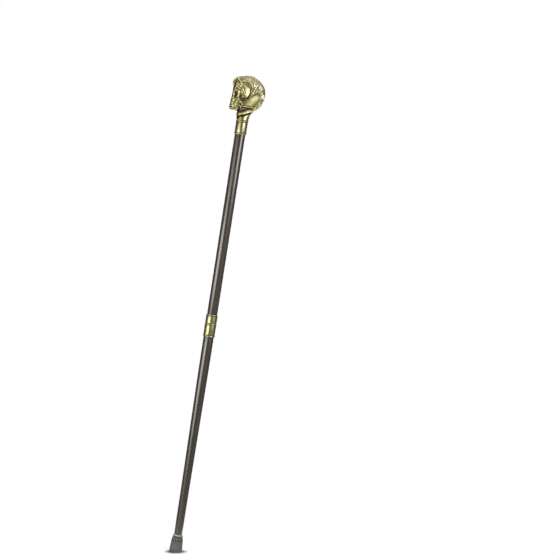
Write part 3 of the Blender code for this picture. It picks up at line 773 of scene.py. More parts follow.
def lock_in_space(points, centre, width, height):
    """A lock of hair along points given in all three directions, its flat side turned away from a centre."""
    line = curve(points, 48)
    t = np.linspace(0, 1, 48)
    swell = quarter(t / 0.3) * (1 - t ** 2.6) ** 0.7
    out = unit(line - np.asarray(centre, float))
    hair_paths.append((line, out, 1.25 * width))
    return swept(line, out, width * swell + THIN, height * swell + THIN, 30, 5, 0.13)


def strap(points, width, height, surface, lift):
    """A band of even width on a surface, rounded off at both ends."""
    line = curve(points, BAR_STEPS)
    t = np.linspace(0, 1, BAR_STEPS)
    swell = quarter(t / 0.05) * quarter((1 - t) / 0.05)
    place, normal = on_surface(surface, line, lift)
    return swept(place, normal, width * swell + THIN, height * swell + THIN, BAR_SIDES)


def free_bar(points, width, height, normal=(0, 1, 0), taper=0.06, count=BAR_STEPS):
    """A bar along points given in all three directions, rounded off at both ends."""
    line = curve(points, count)
    t = np.linspace(0, 1, count)
    swell = quarter(t / taper) * quarter((1 - t) / taper)
    across = np.repeat(np.asarray([normal], float), count, 0)
    return swept(line, across, width * swell + THIN, height * swell + THIN, BAR_SIDES)


def loop(centre, radii, tilt, tube, surface, lift):
    """A ring on a surface: a round bar carried along a tilted ellipse of the side view."""
    turn = np.linspace(0, 2 * np.pi, 40, endpoint=False)
    a, b = radii[0] * np.cos(turn), radii[1] * np.sin(turn)
    c, s = math.cos(tilt), math.sin(tilt)
    line = np.stack([centre[0] + a * c - b * s, centre[1] + a * s + b * c], 1)
    place, normal = on_surface(surface, line, lift)
    tangent = unit(np.roll(place, -1, 0) - np.roll(place, 1, 0))
    side = unit(np.cross(tangent, normal))
    angle = np.linspace(0, 2 * np.pi, 12, endpoint=False)
    round_tube = side[:, None] * np.cos(angle)[:, None] + normal[:, None] * np.sin(angle)[:, None]
    ring = place[:, None] + tube * round_tube
    return ring.reshape(-1, 3), grid_faces(40, 12, wrap_rows=True)


def bump(point, radii, surface, lift):
    """A rounded lump on a surface."""
    return ball(on_surface(surface, np.array([point]), lift)[0][0], radii)


def along_crest(start, end, inset):
    """Points along the crest between two shares of its length, each at its own distance inside it."""
    at = np.linspace(start, end, len(inset)) * (len(crest_line) - 1)
    index = np.arange(len(crest_line))
    point = np.stack([np.interp(at, index, crest_line[:, axis]) for axis in (0, 1)], 1)
    ahead = np.stack([np.interp(at + 1, index, crest_line[:, axis]) for axis in (0, 1)], 1)
    behind = np.stack([np.interp(at - 1, index, crest_line[:, axis]) for axis in (0, 1)], 1)
    along = unit(ahead - behind)
    inwards = np.stack([along[:, 1], -along[:, 0]], 1)
    return point + inwards * inset[:, None]


# Long wavy strands that run with the crest: start and end as shares of its length, inset at root and at tip,
# half width, and wave
MANE_STRANDS = (
    (0.04, 0.40, 1.9, 2.0, 1.30, 0.5), (0.34, 0.68, 1.7, 2.2, 1.30, 0.6), (0.61, 0.92, 1.9, 2.6, 1.20, 0.6),
    (0.07, 0.34, 3.7, 3.9, 1.25, 0.6), (0.28, 0.62, 3.6, 4.2, 1.35, 0.7), (0.55, 0.86, 3.9, 4.7, 1.20, 0.7),
    (0.10, 0.42, 5.7, 5.9, 1.30, 0.7), (0.37, 0.70, 5.6, 6.5, 1.30, 0.8), (0.64, 0.84, 6.1, 7.2, 1.15, 0.7),
    (0.14, 0.46, 7.7, 7.9, 1.25, 0.7), (0.42, 0.76, 7.7, 9.0, 1.30, 0.8), (0.19, 0.50, 9.7, 10.0, 1.25, 0.7),
    (0.47, 0.71, 9.8, 11.2, 1.20, 0.8), (0.24, 0.58, 11.7, 12.4, 1.20, 0.8),
    (0.05, 0.24, 2.9, 2.7, 0.80, 0.4), (0.44, 0.66, 3.0, 3.2, 0.80, 0.5), (0.30, 0.50, 6.8, 7.0, 0.85, 0.5),
    (0.56, 0.78, 8.1, 8.8, 0.80, 0.5), (0.70, 0.90, 3.3, 4.0, 0.75, 0.4),
)


def mane():
    """Strands along the crest, curled tips over the smooth neck, and the broad lock behind the cheek."""
    locks = []
    share = np.linspace(0, 1, 16)
    # combed down both sides of the nape from a parting on the crest
    for index, start in enumerate(np.linspace(0.0, 0.76, 15)):
        reach = 0.50 + 0.06 * math.sin(2.3 * index)
        aside = 0.06 + reach * share ** 1.2 + 0.03 * np.sin(2 * np.pi * share + index)
        points = along_crest(start, min(start + 0.25, 0.985), CREST_ROUND * (1 - np.sqrt(1 - aside ** 2)))
        raised = 0.1 + 0.15 * math.sin(1.7 * index)
        locks.append(lock(points, 1.15, 0.75, lift=raised, ridges=6, depth=0.10, blunt=0.2, count=60))
    for index, (start, end, root, tip, width, wave) in enumerate(MANE_STRANDS):
        inset = root + (tip - root) * share ** 1.4 + wave * np.sin(2 * np.pi * (1.15 * share + 0.37 * index))
        points = along_crest(start, end, inset)
        raised = 0.15 + 0.25 * math.sin(1.9 * index)
        locks.append(lock(points, width, 0.62 * width, raised, ridges=6, depth=0.10, blunt=0.2, count=70))
    # curled tips, as points of the side view
    for points, width in (
        (((21.6, 64.0), (23.0, 58.6), (22.4, 54.0), (20.2, 51.2), (18.9, 52.4)), 1.2),
        (((25.4, 61.0), (26.4, 55.6), (24.6, 50.6), (22.6, 48.0), (23.0, 45.4)), 1.3),
        (((28.2, 58.0), (28.8, 52.6), (26.6, 47.6), (24.2, 45.6), (22.9, 47.0), (23.9, 48.4)), 1.05),
        (((29.8, 54.6), (29.8, 49.0), (27.2, 44.4), (25.8, 41.0), (26.6, 38.4)), 1.3),
        (((31.2, 52.0), (32.0, 47.6), (30.8, 43.8), (28.6, 43.2), (28.1, 45.2), (29.6, 46.2), (30.4, 45.0)),
         0.85),
        (((32.4, 47.0), (32.0, 42.8), (29.9, 39.6), (27.7, 40.2), (28.0, 41.8)), 0.95),
        (((19.6, 66.0), (20.6, 61.0), (19.6, 56.6), (17.8, 54.0)), 1.0),
    ):
        locks.append(lock(points, width, 0.8 * width, lift=0.5))
    # the broad smooth lock behind the cheek, and those over it from the poll
    for points, width, height in (
        (((-3.0, 77.4), (4.0, 74.0), (8.6, 68.0), (9.8, 61.0), (7.4, 53.4), (2.2, 45.6), (-3.6, 38.2),
          (-7.4, 33.2)), 3.0, 1.2),
        (((0.0, 79.8), (7.8, 76.6), (13.2, 70.8), (15.4, 63.8), (13.8, 56.6), (9.4, 49.4), (3.6, 42.0),
          (-2.0, 36.6)), 1.9, 1.1),
        (((5.0, 79.6), (11.6, 76.8), (16.4, 72.2), (20.4, 67.0), (24.4, 63.6)), 1.15, 1.2),
        (((9.6, 78.0), (14.6, 74.6), (17.8, 70.2), (18.8, 64.6), (17.2, 58.8), (14.2, 53.8)), 1.1, 1.0),
    ):
        locks.append(lock(points, width, height, lift=0.2, depth=0.05, count=80))
    # raised strands from the back of the cheek down to the throat
    for points, width in (
        (((21.4, 62.6), (18.8, 57.6), (16.4, 53.4), (13.0, 50.2), (8.4, 45.2), (3.6, 40.4), (-1.4, 36.0),
          (-6.2, 32.4)), 0.75),
        (((19.2, 63.4), (16.8, 58.4), (14.4, 54.2), (11.0, 50.4)), 0.65),
        (((23.4, 61.4), (20.8, 56.4), (18.0, 52.2)), 0.7),
    ):
        locks.append(lock(points, width, width, lift=0.75, ridges=0, depth=0.0, blunt=0.1, count=80))
    return both_sides(locks)


def poll_locks():
    """Tufts on top of the head between the ear and the neck."""
    tufts = []
    for points, width in (
        (((-7.4, 79.4), (-4.8, 77.4), (-3.0, 74.2), (-2.6, 71.2), (-1.6, 68.4)), 1.05),
        (((-10.0, 79.0), (-7.6, 76.2), (-6.4, 72.8), (-6.6, 69.8)), 1.1),
        (((-14.4, 71.8), (-13.6, 75.4), (-11.2, 76.4), (-9.5, 74.6), (-9.9, 71.6)), 0.95),
        (((-4.4, 80.4), (0.2, 78.6), (4.6, 76.2), (9.4, 74.2)), 1.25),
        (((-2.6, 78.2), (1.6, 75.2), (6.6, 72.6), (12.0, 71.2)), 1.3),
        (((-1.0, 75.4), (2.8, 72.0), (7.0, 68.8), (12.6, 67.4)), 1.2),
        (((1.0, 80.8), (6.0, 79.0), (11.0, 76.4), (14.6, 73.6)), 1.1),
        (((-16.4, 76.6), (-12.4, 78.6), (-8.0, 80.2), (-3.0, 81.0)), 1.2),
        (((-18.0, 74.4), (-14.4, 76.6), (-10.8, 78.2), (-7.0, 79.0)), 1.0),
    ):
        tufts.append(lock(points, width, 0.85 * width, lift=0.45, surface=on_either))
    return both_sides(tufts)


def forelock():
    """Curls that fall between the ears onto the forehead."""
    middle = (-14.0, 0.0, 62.0)
    curls = []
    for points, width in (
        (((-14.0, 5.0, 77.2), (-19.4, 5.4, 76.0), (-25.4, 5.4, 72.6), (-28.4, 5.4, 67.6), (-28.8, 5.6, 62.4),
          (-27.0, 6.0, 60.2)), 1.5),
        (((-14.0, 2.4, 78.0), (-20.6, 2.4, 76.2), (-26.6, 2.4, 72.2), (-29.2, 2.4, 66.6),
          (-29.6, 2.4, 60.4)), 1.4),
        (((-20.4, 8.0, 74.4), (-25.0, 8.2, 72.2), (-27.4, 8.4, 68.8), (-26.4, 9.0, 66.4), (-24.4, 9.6, 67.2),
          (-24.6, 9.6, 69.0)), 1.1),
        (((-23.0, 9.4, 70.4), (-26.6, 8.4, 67.4), (-28.2, 7.8, 64.2), (-27.0, 8.8, 62.0), (-25.0, 9.8, 62.6),
          (-25.2, 10.0, 64.2)), 1.1),
        (((-18.6, 11.0, 69.4), (-20.8, 11.2, 67.4), (-21.2, 11.6, 65.0), (-19.8, 12.4, 63.8),
          (-18.6, 12.8, 64.8)), 0.9),
    ):
        curls.append(lock_in_space(points, middle, width, 0.9 * width))
    crown = ((-13.0, 0, 78.8), (-21.0, 0, 76.6), (-27.4, 0, 72.0), (-30.0, 0, 65.6), (-30.0, 0, 58.4))
    return both_sides(curls) + [lock_in_space(crown, middle, 1.5, 1.2)]


def ears():
    """Each ear is a cupped leaf: a bowed band that swells and narrows, with a ridge along its back."""
    line = curve(((-14.6, 12.2, 63.4), (-16.8, 12.8, 66.8), (-19.6, 12.4, 70.2), (-22.6, 11.2, 72.9),
                  (-25.8, 9.2, 75.2)), 40)
    t = np.linspace(0, 1, 40)
    half = 2.5 * np.sin(np.pi * np.clip(0.16 + 0.84 * t, 0, 1)) ** 0.7 + 0.03
    outwards = unit(np.array([-0.25, 0.95, 0.05]))
    across = unit(np.cross(np.gradient(line, axis=0), outwards))
    share = np.linspace(-1, 1, 13)
    cup = 0.62 * share ** 2
    face = line[:, None] + half[:, None, None] * (across[:, None] * share[:, None] + outwards * cup[:, None])
    under = face[:, ::-1] - outwards * 1.1
    leaf = np.concatenate([face, under], 1)
    shell = (leaf.reshape(-1, 3), grid_faces(40, 26))
    back = free_bar(((-11.8, 13.4, 62.8), (-13.6, 14.0, 65.4), (-15.4, 14.3, 68.2), (-17.8, 13.9, 71.4),
                     (-20.8, 12.6, 73.6), (-23.6, 10.8, 74.9), (-26.0, 9.2, 75.3)),
                    1.05, 1.2, normal=(-0.25, 0.95, 0.05), taper=0.35)
    crown = free_bar(((-12.0, 9.8, 70.4), (-16.0, 9.6, 73.4), (-20.6, 8.8, 74.6), (-25.0, 7.8, 74.8)),
                     1.5, 1.7, normal=(0.2, 0.4, 0.9), taper=0.35)
    return both_sides([shell, back, crown])


def bridle():
    """Straps, the bit with its ring and bow, and the rein that rests over the neck."""
    parts = [
        strap(((-12.2, 68.4), (-12.6, 64.4), (-13.1, 53.3), (-13.8, 42.2), (-14.2, 35.6)), 0.6, 0.7, on_head,
              lift=0.2),
        strap(((-12.0, 59.6), (-9.4, 57.0), (-7.0, 54.2), (-4.8, 51.0), (-3.0, 47.6), (-1.5, 44.2),
               (-0.6, 41.0)), 0.7, 0.45, on_head, lift=0.12),
        strap(((-26.8, 62.8), (-23.6, 64.2), (-20.4, 64.0), (-15.8, 62.6), (-11.0, 61.0)), 0.7, 0.85,
              on_head, lift=0.3),
        loop((-13.4, 25.6), (1.75, 1.95), 0.15, 0.58, on_head, 0.7),
    ]
    # the noseband is a row of knots down each side, on a thin strap that carries it over the nose
    for index in range(6):
        share = index / 5
        place = (-26.0 + 12.4 * share, 36.3 + 0.5 * math.sin(2.4 * index))
        parts.append(bump(place, (1.5, 1.0, 1.25), on_head, 0.35))
    aside = np.array([0.0, 2.3, 4.7, 7.0, 8.3])
    over_nose = NOSE_FRONT + FRONT_ROUND * (1 - np.sqrt(1 - (aside / NOSE_HALF_WIDTH) ** 2))
    droop = 34.8 + 1.6 * (aside / aside[-1]) ** 2
    parts.append(free_bar(np.stack([over_nose, aside, droop], 1), 0.9, 0.5, normal=(-1, 0, 0), taper=0.02))
    for x, y, z in zip(over_nose[:3], aside, droop):
        parts.append(ball((x - 0.1, y, z), (0.9, 1.3, 1.2)))
    # the bow beside the bit: three slanting ribs over a rounded heart
    parts.append(ball((-9.4, 9.8, 31.4), (3.6, 2.4, 3.5)))
    for rise, out, reach in ((-1.5, 12.0, 3.3), (0.0, 12.7, 4.4), (1.5, 12.0, 3.3)):
        middle = np.array([-9.4 + 0.69 * rise, 31.4 + 0.72 * rise])
        first, last = middle + reach * np.array([-0.72, 0.69]), middle - reach * np.array([-0.72, 0.69])
        ends = ((first[0], out - 0.4, first[1]), (middle[0], out, middle[1]), (last[0], out - 2.4, last[1]))
        parts.append(free_bar(ends, 0.72, 1.0, taper=0.3, count=30))
    # the rein: two cords side by side to the side of the neck, and then up over the crest
    for offset in (-0.5, 0.5):
        parts.append(free_bar(
            ((-12.0, 9.8, 24.4 + offset), (-8.0, 9.9, 24.4 + offset), (-2.0, 10.4, 24.6 + offset),
             (6.0, 12.2, 24.9 + offset), (13.0, 13.2, 25.1 + offset), (18.0, 13.5, 25.3 + offset),
             (21.6, 12.2, 25.6 + offset)),
            0.56, 2.2))
        parts.append(strap(
            ((18.6 + offset, 25.0 - offset), (22.0 + offset, 29.0 - offset), (25.6 + offset, 33.4 - offset),
             (28.6 + offset, 37.0 - offset), (30.6 + offset, 39.4 - offset)),
            0.75, 1.0, on_neck, lift=0.4))
        parts.append(free_bar(
            ((29.4, 11.2, 38.8 - offset), (31.7, 8.2, 40.4 - offset), (33.2, 4.4, 41.6 - offset),
             (33.7, 0.0, 42.0 - offset)),
            0.75, 1.0, normal=(0.8, 0, 0.6), taper=0.02))
    parts.append(strap(((22.0, 23.4), (26.0, 28.2), (28.8, 32.8), (30.6, 36.8)), 0.7, 0.9, on_neck,
                       lift=0.25))
    return both_sides(parts)


def features():
    """Eye with its lids and brow, bumps of the face, nostril rim, lips and chin."""
    parts = [
        bump((-14.9, 58.4), (2.0, 1.6, 1.6), on_head, 0.3),
        strap(((-18.6, 56.4), (-17.6, 59.2), (-15.2, 60.9), (-12.9, 60.2), (-12.0, 58.0)), 0.65, 1.0,
              on_head, lift=0.7),
        strap(((-18.0, 56.2), (-15.6, 55.6), (-13.4, 56.3), (-12.0, 58.0)), 0.55, 0.8, on_head, lift=0.5),
        bump((-18.6, 58.4), (1.3, 1.4, 2.4), on_head, 0.0),
        bump((-22.4, 57.6), (2.2, 1.2, 2.6), on_head, -0.45),
        strap(((-24.8, 54.4), (-21.0, 53.6), (-17.6, 54.4)), 0.7, 0.8, on_head, lift=0.1),
        bump((-24.0, 51.0), (1.6, 1.5, 1.6), on_head, 0.4),
        bump((-20.4, 51.2), (1.6, 1.5, 1.6), on_head, 0.4),
        bump((-24.6, 46.0), (1.7, 1.0, 5.4), on_head, -0.35),
        bump((-24.0, 28.4), (2.1, 1.0, 4.6), on_head, -0.1),
        bump((-16.8, 29.8), (1.7, 1.0, 3.4), on_head, 0.0),
        strap(((-24.4, 24.0), (-22.2, 21.4), (-19.8, 18.8)), 1.1, 0.9, on_head, lift=0.1),
        strap(((-27.2, 21.6), (-26.8, 19.2), (-25.4, 17.9), (-23.6, 18.6), (-23.0, 20.6)), 0.65, 0.9,
              on_head, lift=0.45),
        bump((-25.2, 20.6), (0.75, 0.8, 0.85), on_head, 0.1),
        bump((-15.2, 16.6), (2.6, 1.6, 2.2), on_head, 0.1),
        bump((-19.2, 15.8), (2.4, 1.4, 1.5), on_head, 0.1),
        bump((-12.6, 19.2), (1.5, 1.2, 1.8), on_head, 0.3),
        bump((-16.4, 20.6), (1.5, 1.0, 1.2), on_head, 0.3),
    ]
    return both_sides(parts)


def stem_fold():
    """The small leaf-shaped fold on the front of the stem, under the lip."""
    leaf = free_bar(((-12.0, 3.0, 4.8), (-10.6, 6.4, 4.5), (-7.0, 9.1, 3.9), (-2.6, 10.6, 3.0),
                     (0.6, 11.0, 2.4)), 0.9, 1.0, normal=(-0.3, 0.9, 0), taper=0.4)
    return both_sides([leaf])


def fuse(name, parts, voxel):
    """One closed casting from overlapping closed parts, joined by a voxel remesh and then smoothed."""
    points, faces = joined(parts)
    piece = add_mesh(name, points, faces)
    remesh = piece.modifiers.new("fuse", "REMESH")
    remesh.mode = "VOXEL"
    remesh.voxel_size = voxel
    ease = piece.modifiers.new("ease", "SMOOTH")
    ease.factor = 0.5
    ease.iterations = 3
    for modifier in ("fuse", "ease"):
        bpy.ops.object.modifier_apply(modifier=modifier)
    return piece


def mesh_arrays(mesh):
    """Points, normals and edges of a mesh as arrays."""
    points = np.empty(len(mesh.vertices) * 3, np.float32)
    normals = np.empty(len(mesh.vertices) * 3, np.float32)
    edges = np.empty(len(mesh.edges) * 2, np.int32)
    mesh.vertices.foreach_get("co", points)
    mesh.vertex_normals.foreach_get("vector", normals)
    mesh.edges.foreach_get("vertices", edges)
    return points.reshape(-1, 3).astype(float), normals.reshape(-1, 3).astype(float), edges.reshape(-1, 2)


def averaged(values, edges, times):
    """Values eased over a mesh: each becomes the mean of itself and its neighbours' mean, many times."""
    first, second = edges[:, 0], edges[:, 1]
    count = len(values)
    share = np.maximum(np.bincount(first, minlength=count) + np.bincount(second, minlength=count), 1)
    for _ in range(times):
        around = [
            np.bincount(first, column[second], count) + np.bincount(second, column[first], count)
            for column in values.T
        ]
        values = 0.5 * values + 0.5 * np.stack(around, 1) / share[:, None]
    return values


def write_attribute(piece, name, values):
    """Stores one number or one direction for each point of a piece."""
    kind = "FLOAT" if values.ndim == 1 else "FLOAT_VECTOR"
    attribute = piece.data.attributes.new(name, kind, "POINT")
    field = "value" if values.ndim == 1 else "vector"
    attribute.data.foreach_set(field, values.astype(np.float32).ravel())


# How often the surface is eased for each size of hollow, with its weight, and the depth that counts as one
HOLLOW_SIZES = ((3, 0.35), (14, 0.45), (60, 0.40), (240, 0.40))
HOLLOW_DEPTH = 0.14


def mark_hollows(piece, shade):
    """Writes "hollow": about 0 on ridges, 0.5 on plain surfaces and 1 in hollows, plus the marks' painted
    shade and highlight.

    It is how far the surface lies under its eased self, for several sizes of hollow together.
    """
    points, normals, edges = mesh_arrays(piece.data)
    hollow = np.zeros(len(points))
    eased, done = points, 0
    for times, weight in HOLLOW_SIZES:
        eased = averaged(eased, edges, times - done)
        done = times
        unit_depth = HOLLOW_DEPTH * math.sqrt(times / HOLLOW_SIZES[0][0]) ** 0.8
        depth = ((eased - points) * normals).sum(1) / unit_depth
        hollow += weight * np.tanh(depth)
    value = np.clip(0.5 + 0.5 * hollow + shade, 0, 1)
    value = averaged(value[:, None], edges, 1)[:, 0]
    write_attribute(piece, "hollow", value)


# Tarnish and painted shade on the casting, as (x, z), reach each way, and strength: the spots under the
# rein, at the throat, at the front of the stem, beside the nose and on the forelock are painted shade, the
# others tarnish; below 0 the hair is painted pale, a painted highlight along the mane's back edge
TARNISH_AND_PAINTED_SHADING = (
    ((-2.0, 64.0), (8.0, 5.0), 0.45), ((8.0, 60.0), (4.0, 8.0), 0.5), ((-20.0, 43.5), (2.6, 6.0), 1.0),
    ((-25.0, 67.0), (3.4, 6.0), 0.6), ((-5.0, 32.0), (6.5, 6.5), 1.0), ((-6.0, 17.0), (10.0, 5.0), 1.0),
    ((3.0, 45.0), (4.0, 5.0), 0.6), ((2.0, 52.0), (4.5, 9.0), 0.48), ((-10.5, 4.0), (4.0, 4.0), 0.8),
    ((2.0, 78.0), (8.0, 4.0), 0.25), ((34.5, 46.0), (6.0, 13.0), -1.0), ((30.0, 32.0), (5.0, 8.0), -0.9),
)


def mark_tarnish_and_painted_shading(piece):
    """Writes the tarnish attribute from -1 to 1: hills of tarnish and painted shade, and dips of pale
    painted highlight on the hair, soft in the side view and the same on both sides.
    """
    points, _, _ = mesh_arrays(piece.data)
    most, least = np.zeros(len(points)), np.zeros(len(points))
    for centre, reach, strength in TARNISH_AND_PAINTED_SHADING:
        value = strength * near(points[:, 0], points[:, 2], centre, reach)
        most, least = np.maximum(most, value), np.minimum(least, value)
    write_attribute(piece, "tarnish_and_painted_shading", most + least)


MANE_CENTRE = (2.0, 44.0)


def mark_hair(piece):
    """Writes "hair" and "strand".

    Hair is 1 on the locks and falls to 0 off them, with the distance to the nearest path over its reach.
    Strand is how far inside the crest a point lies, swayed by a sine, and how far round MANE_CENTRE it is.
    """
    points, _, _ = mesh_arrays(piece.data)
    folded = np.stack([points[:, 0], np.abs(points[:, 1]), points[:, 2]], 1)
    thin = slice(None, None, 4)
    paths = np.concatenate([path[thin] for path, _, _ in hair_paths])
    reach = np.concatenate([np.full(len(path[thin]), width) for path, _, width in hair_paths])
    hair = np.zeros(len(points))
    for part in np.array_split(np.arange(len(points)), PORTIONS):
        apart = np.linalg.norm(folded[part, None] - paths[None], axis=2) / reach
        hair[part] = np.clip(1.7 - apart.min(1), 0, 1)
    write_attribute(piece, "hair", hair)
    x, z = points[:, 0], points[:, 2]
    portions = zip(np.array_split(x, PORTIONS), np.array_split(z, PORTIONS))
    inset = np.concatenate([distance_to(crest_line, a, b) for a, b in portions])
    turn = np.arctan2(z - MANE_CENTRE[1], x - MANE_CENTRE[0])
    sway = 0.7 * np.sin(9.0 * turn + 0.35 * inset)
    write_attribute(piece, "strand", np.stack([inset + sway, 30.0 * turn, folded[:, 1]], 1))


# Lines pressed into the casting, and bands of painted shade and painted highlight that stand in part for
# patina and wear: the surface that carries each, its points of the side view, half width, depth, and how
# much darker it makes the finish as painted shade (or brighter, below 0, as painted highlight)
MARKS = (
    (on_head, ((-26.2, 20.0), (-25.4, 19.4), (-24.4, 20.2), (-24.2, 21.6)), 0.60, 1.5, 0.6),
    (on_head, ((-27.6, 17.2), (-24.0, 16.8), (-20.4, 17.6), (-17.4, 18.8), (-14.2, 21.6)), 0.60, 1.6, 0.7),
    (on_head, ((-13.5, 26.8), (-13.4, 25.4), (-13.3, 24.4)), 0.80, 1.3, 0.6),
    (on_head, ((-16.4, 58.7), (-13.6, 58.4)), 0.50, 0.5, 0.3),
    (on_head, ((-17.0, 14.8), (-17.2, 17.6)), 0.45, 0.7, 0.3),
    (on_head, ((-14.0, 14.6), (-13.6, 18.2)), 0.45, 0.7, 0.3),
    (on_head, ((-19.8, 33.0), (-19.8, 28.4), (-20.6, 25.0)), 0.70, 0.4, 0.0),
    (on_head, ((-26.4, 33.0), (-24.0, 28.4), (-21.0, 31.6), (-18.0, 27.4), (-16.4, 31.4)), 3.00, 0.0, -0.22),
    (on_head, ((-26.4, 23.4), (-21.0, 22.0), (-15.6, 24.0)), 2.20, 0.0, -0.28),
    (on_head, ((-11.6, 62.0), (-12.1, 52.0), (-12.8, 42.0), (-13.2, 37.0)), 0.45, 0.3, 0.2),
    (on_head, ((-15.6, 55.0), (-16.0, 48.0), (-16.4, 41.0)), 2.20, 0.0, -0.12),
    (on_head, ((-24.6, 53.0), (-21.0, 52.3), (-16.0, 53.0)), 0.60, 0.7, 0.35),
    (on_head, ((-11.0, 60.0), (-8.4, 57.4), (-6.0, 54.6), (-3.8, 51.4), (-2.0, 48.0), (-0.4, 44.6)),
     0.40, 0.35, 0.22),
    (on_either, ((-8.0, 69.4), (-3.6, 69.6), (2.0, 67.0), (5.8, 61.4), (6.7, 54.2), (5.4, 47.0),
                 (1.4, 40.0)), 0.70, 0.7, 0.25),
    (on_neck, ((4.4, 74.0), (10.0, 68.0), (11.6, 61.0), (9.6, 54.4), (4.8, 46.8)), 2.40, 0.0, -0.36),
    (on_neck, ((22.0, 68.0), (27.4, 60.0), (29.4, 52.0), (29.0, 44.0)), 5.00, 0.0, -0.22),
    (on_neck, ((31.0, 60.0), (32.4, 54.0), (32.8, 48.0), (31.8, 41.0), (30.2, 33.0), (26.0, 27.0)),
     3.40, 0.0, -0.35),
    (on_neck, ((-5.0, 30.0), (3.0, 36.0), (9.0, 40.0)), 4.00, 0.0, -0.25),
    (on_neck, ((24.0, 63.6), (20.0, 58.0), (17.4, 53.2), (14.0, 49.6), (9.4, 44.4), (4.6, 39.8)),
     0.60, 0.6, 0.15),
    (on_neck, ((-6.0, 22.6), (4.0, 22.7), (11.0, 22.9)), 0.90, 0.5, 0.35),
    (on_neck, ((-12.0, 19.6), (-9.0, 14.6), (-4.0, 15.6), (1.0, 17.8), (6.0, 20.2)), 3.00, 0.0, 0.42),
    (on_head, ((-11.2, 45.0), (-10.2, 38.4), (-4.4, 39.6)), 3.20, 0.0, 0.68),
    (on_head, ((-25.6, 62.0), (-25.6, 66.0), (-24.2, 70.4), (-20.6, 73.6), (-16.0, 75.4)), 4.20, 0.0, 0.50),
    (on_head, ((-28.0, 19.0), (-25.0, 15.4), (-19.0, 14.0), (-13.0, 15.2)), 2.30, 0.0, 0.60),
    (on_head, ((-25.0, 57.0), (-20.0, 55.6), (-14.0, 54.0)), 2.80, 0.0, 0.25),
    (on_head, ((-21.0, 51.0), (-20.4, 44.0), (-20.6, 37.6)), 2.40, 0.0, 0.35),
    (on_stem, ((-11.6, 0.0), (-9.4, 3.4), (-7.4, 6.4)), 4.40, 0.0, 0.90),
    (on_stem, ((-1.0, 0.0), (-0.4, 5.0)), 2.00, 0.0, 0.70),
    (on_stem, ((-8.0, 4.6), (-4.0, 3.9), (0.6, 2.6)), 0.90, 0.0, -0.45),
    (on_stem, ((-10.0, 4.3), (-3.0, 6.0), (3.0, 8.1), (8.4, 10.4), (13.0, 13.0), (16.4, 15.4)),
     1.30, 0.4, 0.75),
    (on_neck, ((-8.6, 8.3), (-3.0, 10.2), (3.6, 12.8), (10.0, 16.2), (15.6, 19.8), (21.0, 24.2)),
     1.70, 0.0, -0.42),
    (on_neck, ((9.4, 78.2), (14.8, 74.4), (19.4, 68.6), (24.0, 63.8)), 0.90, 0.0, -0.30),
    (on_neck, ((20.6, 61.4), (16.8, 55.0), (10.0, 47.4), (3.4, 40.6), (-4.0, 34.4)), 0.80, 0.0, -0.30),
)


def mark(piece):
    """Presses the marks into the casting as bell-shaped valleys along them, and gives their painted shade
    and highlight.
    """
    points, normals, _ = mesh_arrays(piece.data)
    folded = np.stack([points[:, 0], np.abs(points[:, 1]), points[:, 2]], 1)
    depth, shade = np.zeros(len(points)), np.zeros(len(points))
    for surface, line, width, deep, darker in MARKS:
        path = on_surface(surface, curve(line, 120), 0.3)[0]
        reach = 2.5 * width + 1.0
        close = np.flatnonzero(((folded > path.min(0) - reach) & (folded < path.max(0) + reach)).all(1))
        apart = np.full(len(close), np.inf)
        for place in path:
            apart = np.minimum(apart, ((folded[close] - place) ** 2).sum(1))
        depth[close] += deep * np.exp(-apart / width ** 2)
        shade[close] += darker * np.exp(-apart / width ** 2)
    moved = points - normals * depth[:, None]
    piece.data.vertices.foreach_set("co", moved.astype(np.float32).ravel())
    piece.data.update()
    return shade


def settle(piece):
    """Leans the head back a little above its foot, and puts it in metres at its place on the cane."""
    points, _, _ = mesh_arrays(piece.data)
    x, z = points[:, 0], points[:, 2]
    lean = np.radians(HEAD_LEAN_DEG) * step_between(z, 0.0, 16.0)
    grown = 1 + (HEAD_GROWTH - 1) * step_between(z, 0.0, 16.0)
    turned_x, turned_z = x * np.cos(lean) + z * np.sin(lean), z * np.cos(lean) - x * np.sin(lean)
    placed = np.stack([turned_x * grown, points[:, 1], turned_z * grown], 1) * MM + (0, 0, HEAD_BASE)
    piece.data.vertices.foreach_set("co", placed.astype(np.float32).ravel())
    piece.data.update()


def thin_out(piece):
    """Merges the flattest triangles until a piece has no more than MOST_TRIANGLES."""
    piece.data.calc_loop_triangles()
    count = len(piece.data.loop_triangles)
    if count <= MOST_TRIANGLES:
        return
    modifier = piece.modifiers.new("thin", "DECIMATE")
    modifier.ratio = MOST_TRIANGLES / count
    bpy.context.view_layer.objects.active = piece
    bpy.ops.object.modifier_apply(modifier="thin")
    piece.data.polygons.foreach_set("use_smooth", np.ones(len(piece.data.polygons), bool))


def cast_head():
    parts = [head_volume(), neck_volume(), stem_volume()]
    parts += mane() + poll_locks() + forelock() + ears() + bridle() + features() + stem_fold()
    piece = fuse("horse_head_casting", parts, VOXEL)
    shade = mark(piece)
    mark_hollows(piece, shade)
    mark_tarnish_and_painted_shading(piece)
    mark_hair(piece)
    thin_out(piece)
    settle(piece)
    return piece


# Turned pieces, as (radius, height) profiles in millimetres

ROUND_STEPS = 144
SLEEVE_STEP = 1.1
BEAD_STEP = 0.8
BEAD_WIDTH = 2.4
TENON_STEP = 0.8
RECESS_RADIUS = 8.3
RECESS_DEPTH = 1.1
END_WALL = 2.5
SEAT_GAP = 0.3
FOOT_RADIUS = 11.4
FOOT_BORE = 4.3
GROOVE_DEPTH = 0.32
GROOVE_WIDTH = 0.55
# How finely a profile is read for its hollows, how far its easing reaches, and the depth that counts as one
PROFILE_STEP = 0.05
PROFILE_REACH = 0.7
PROFILE_DEPTH = 0.10


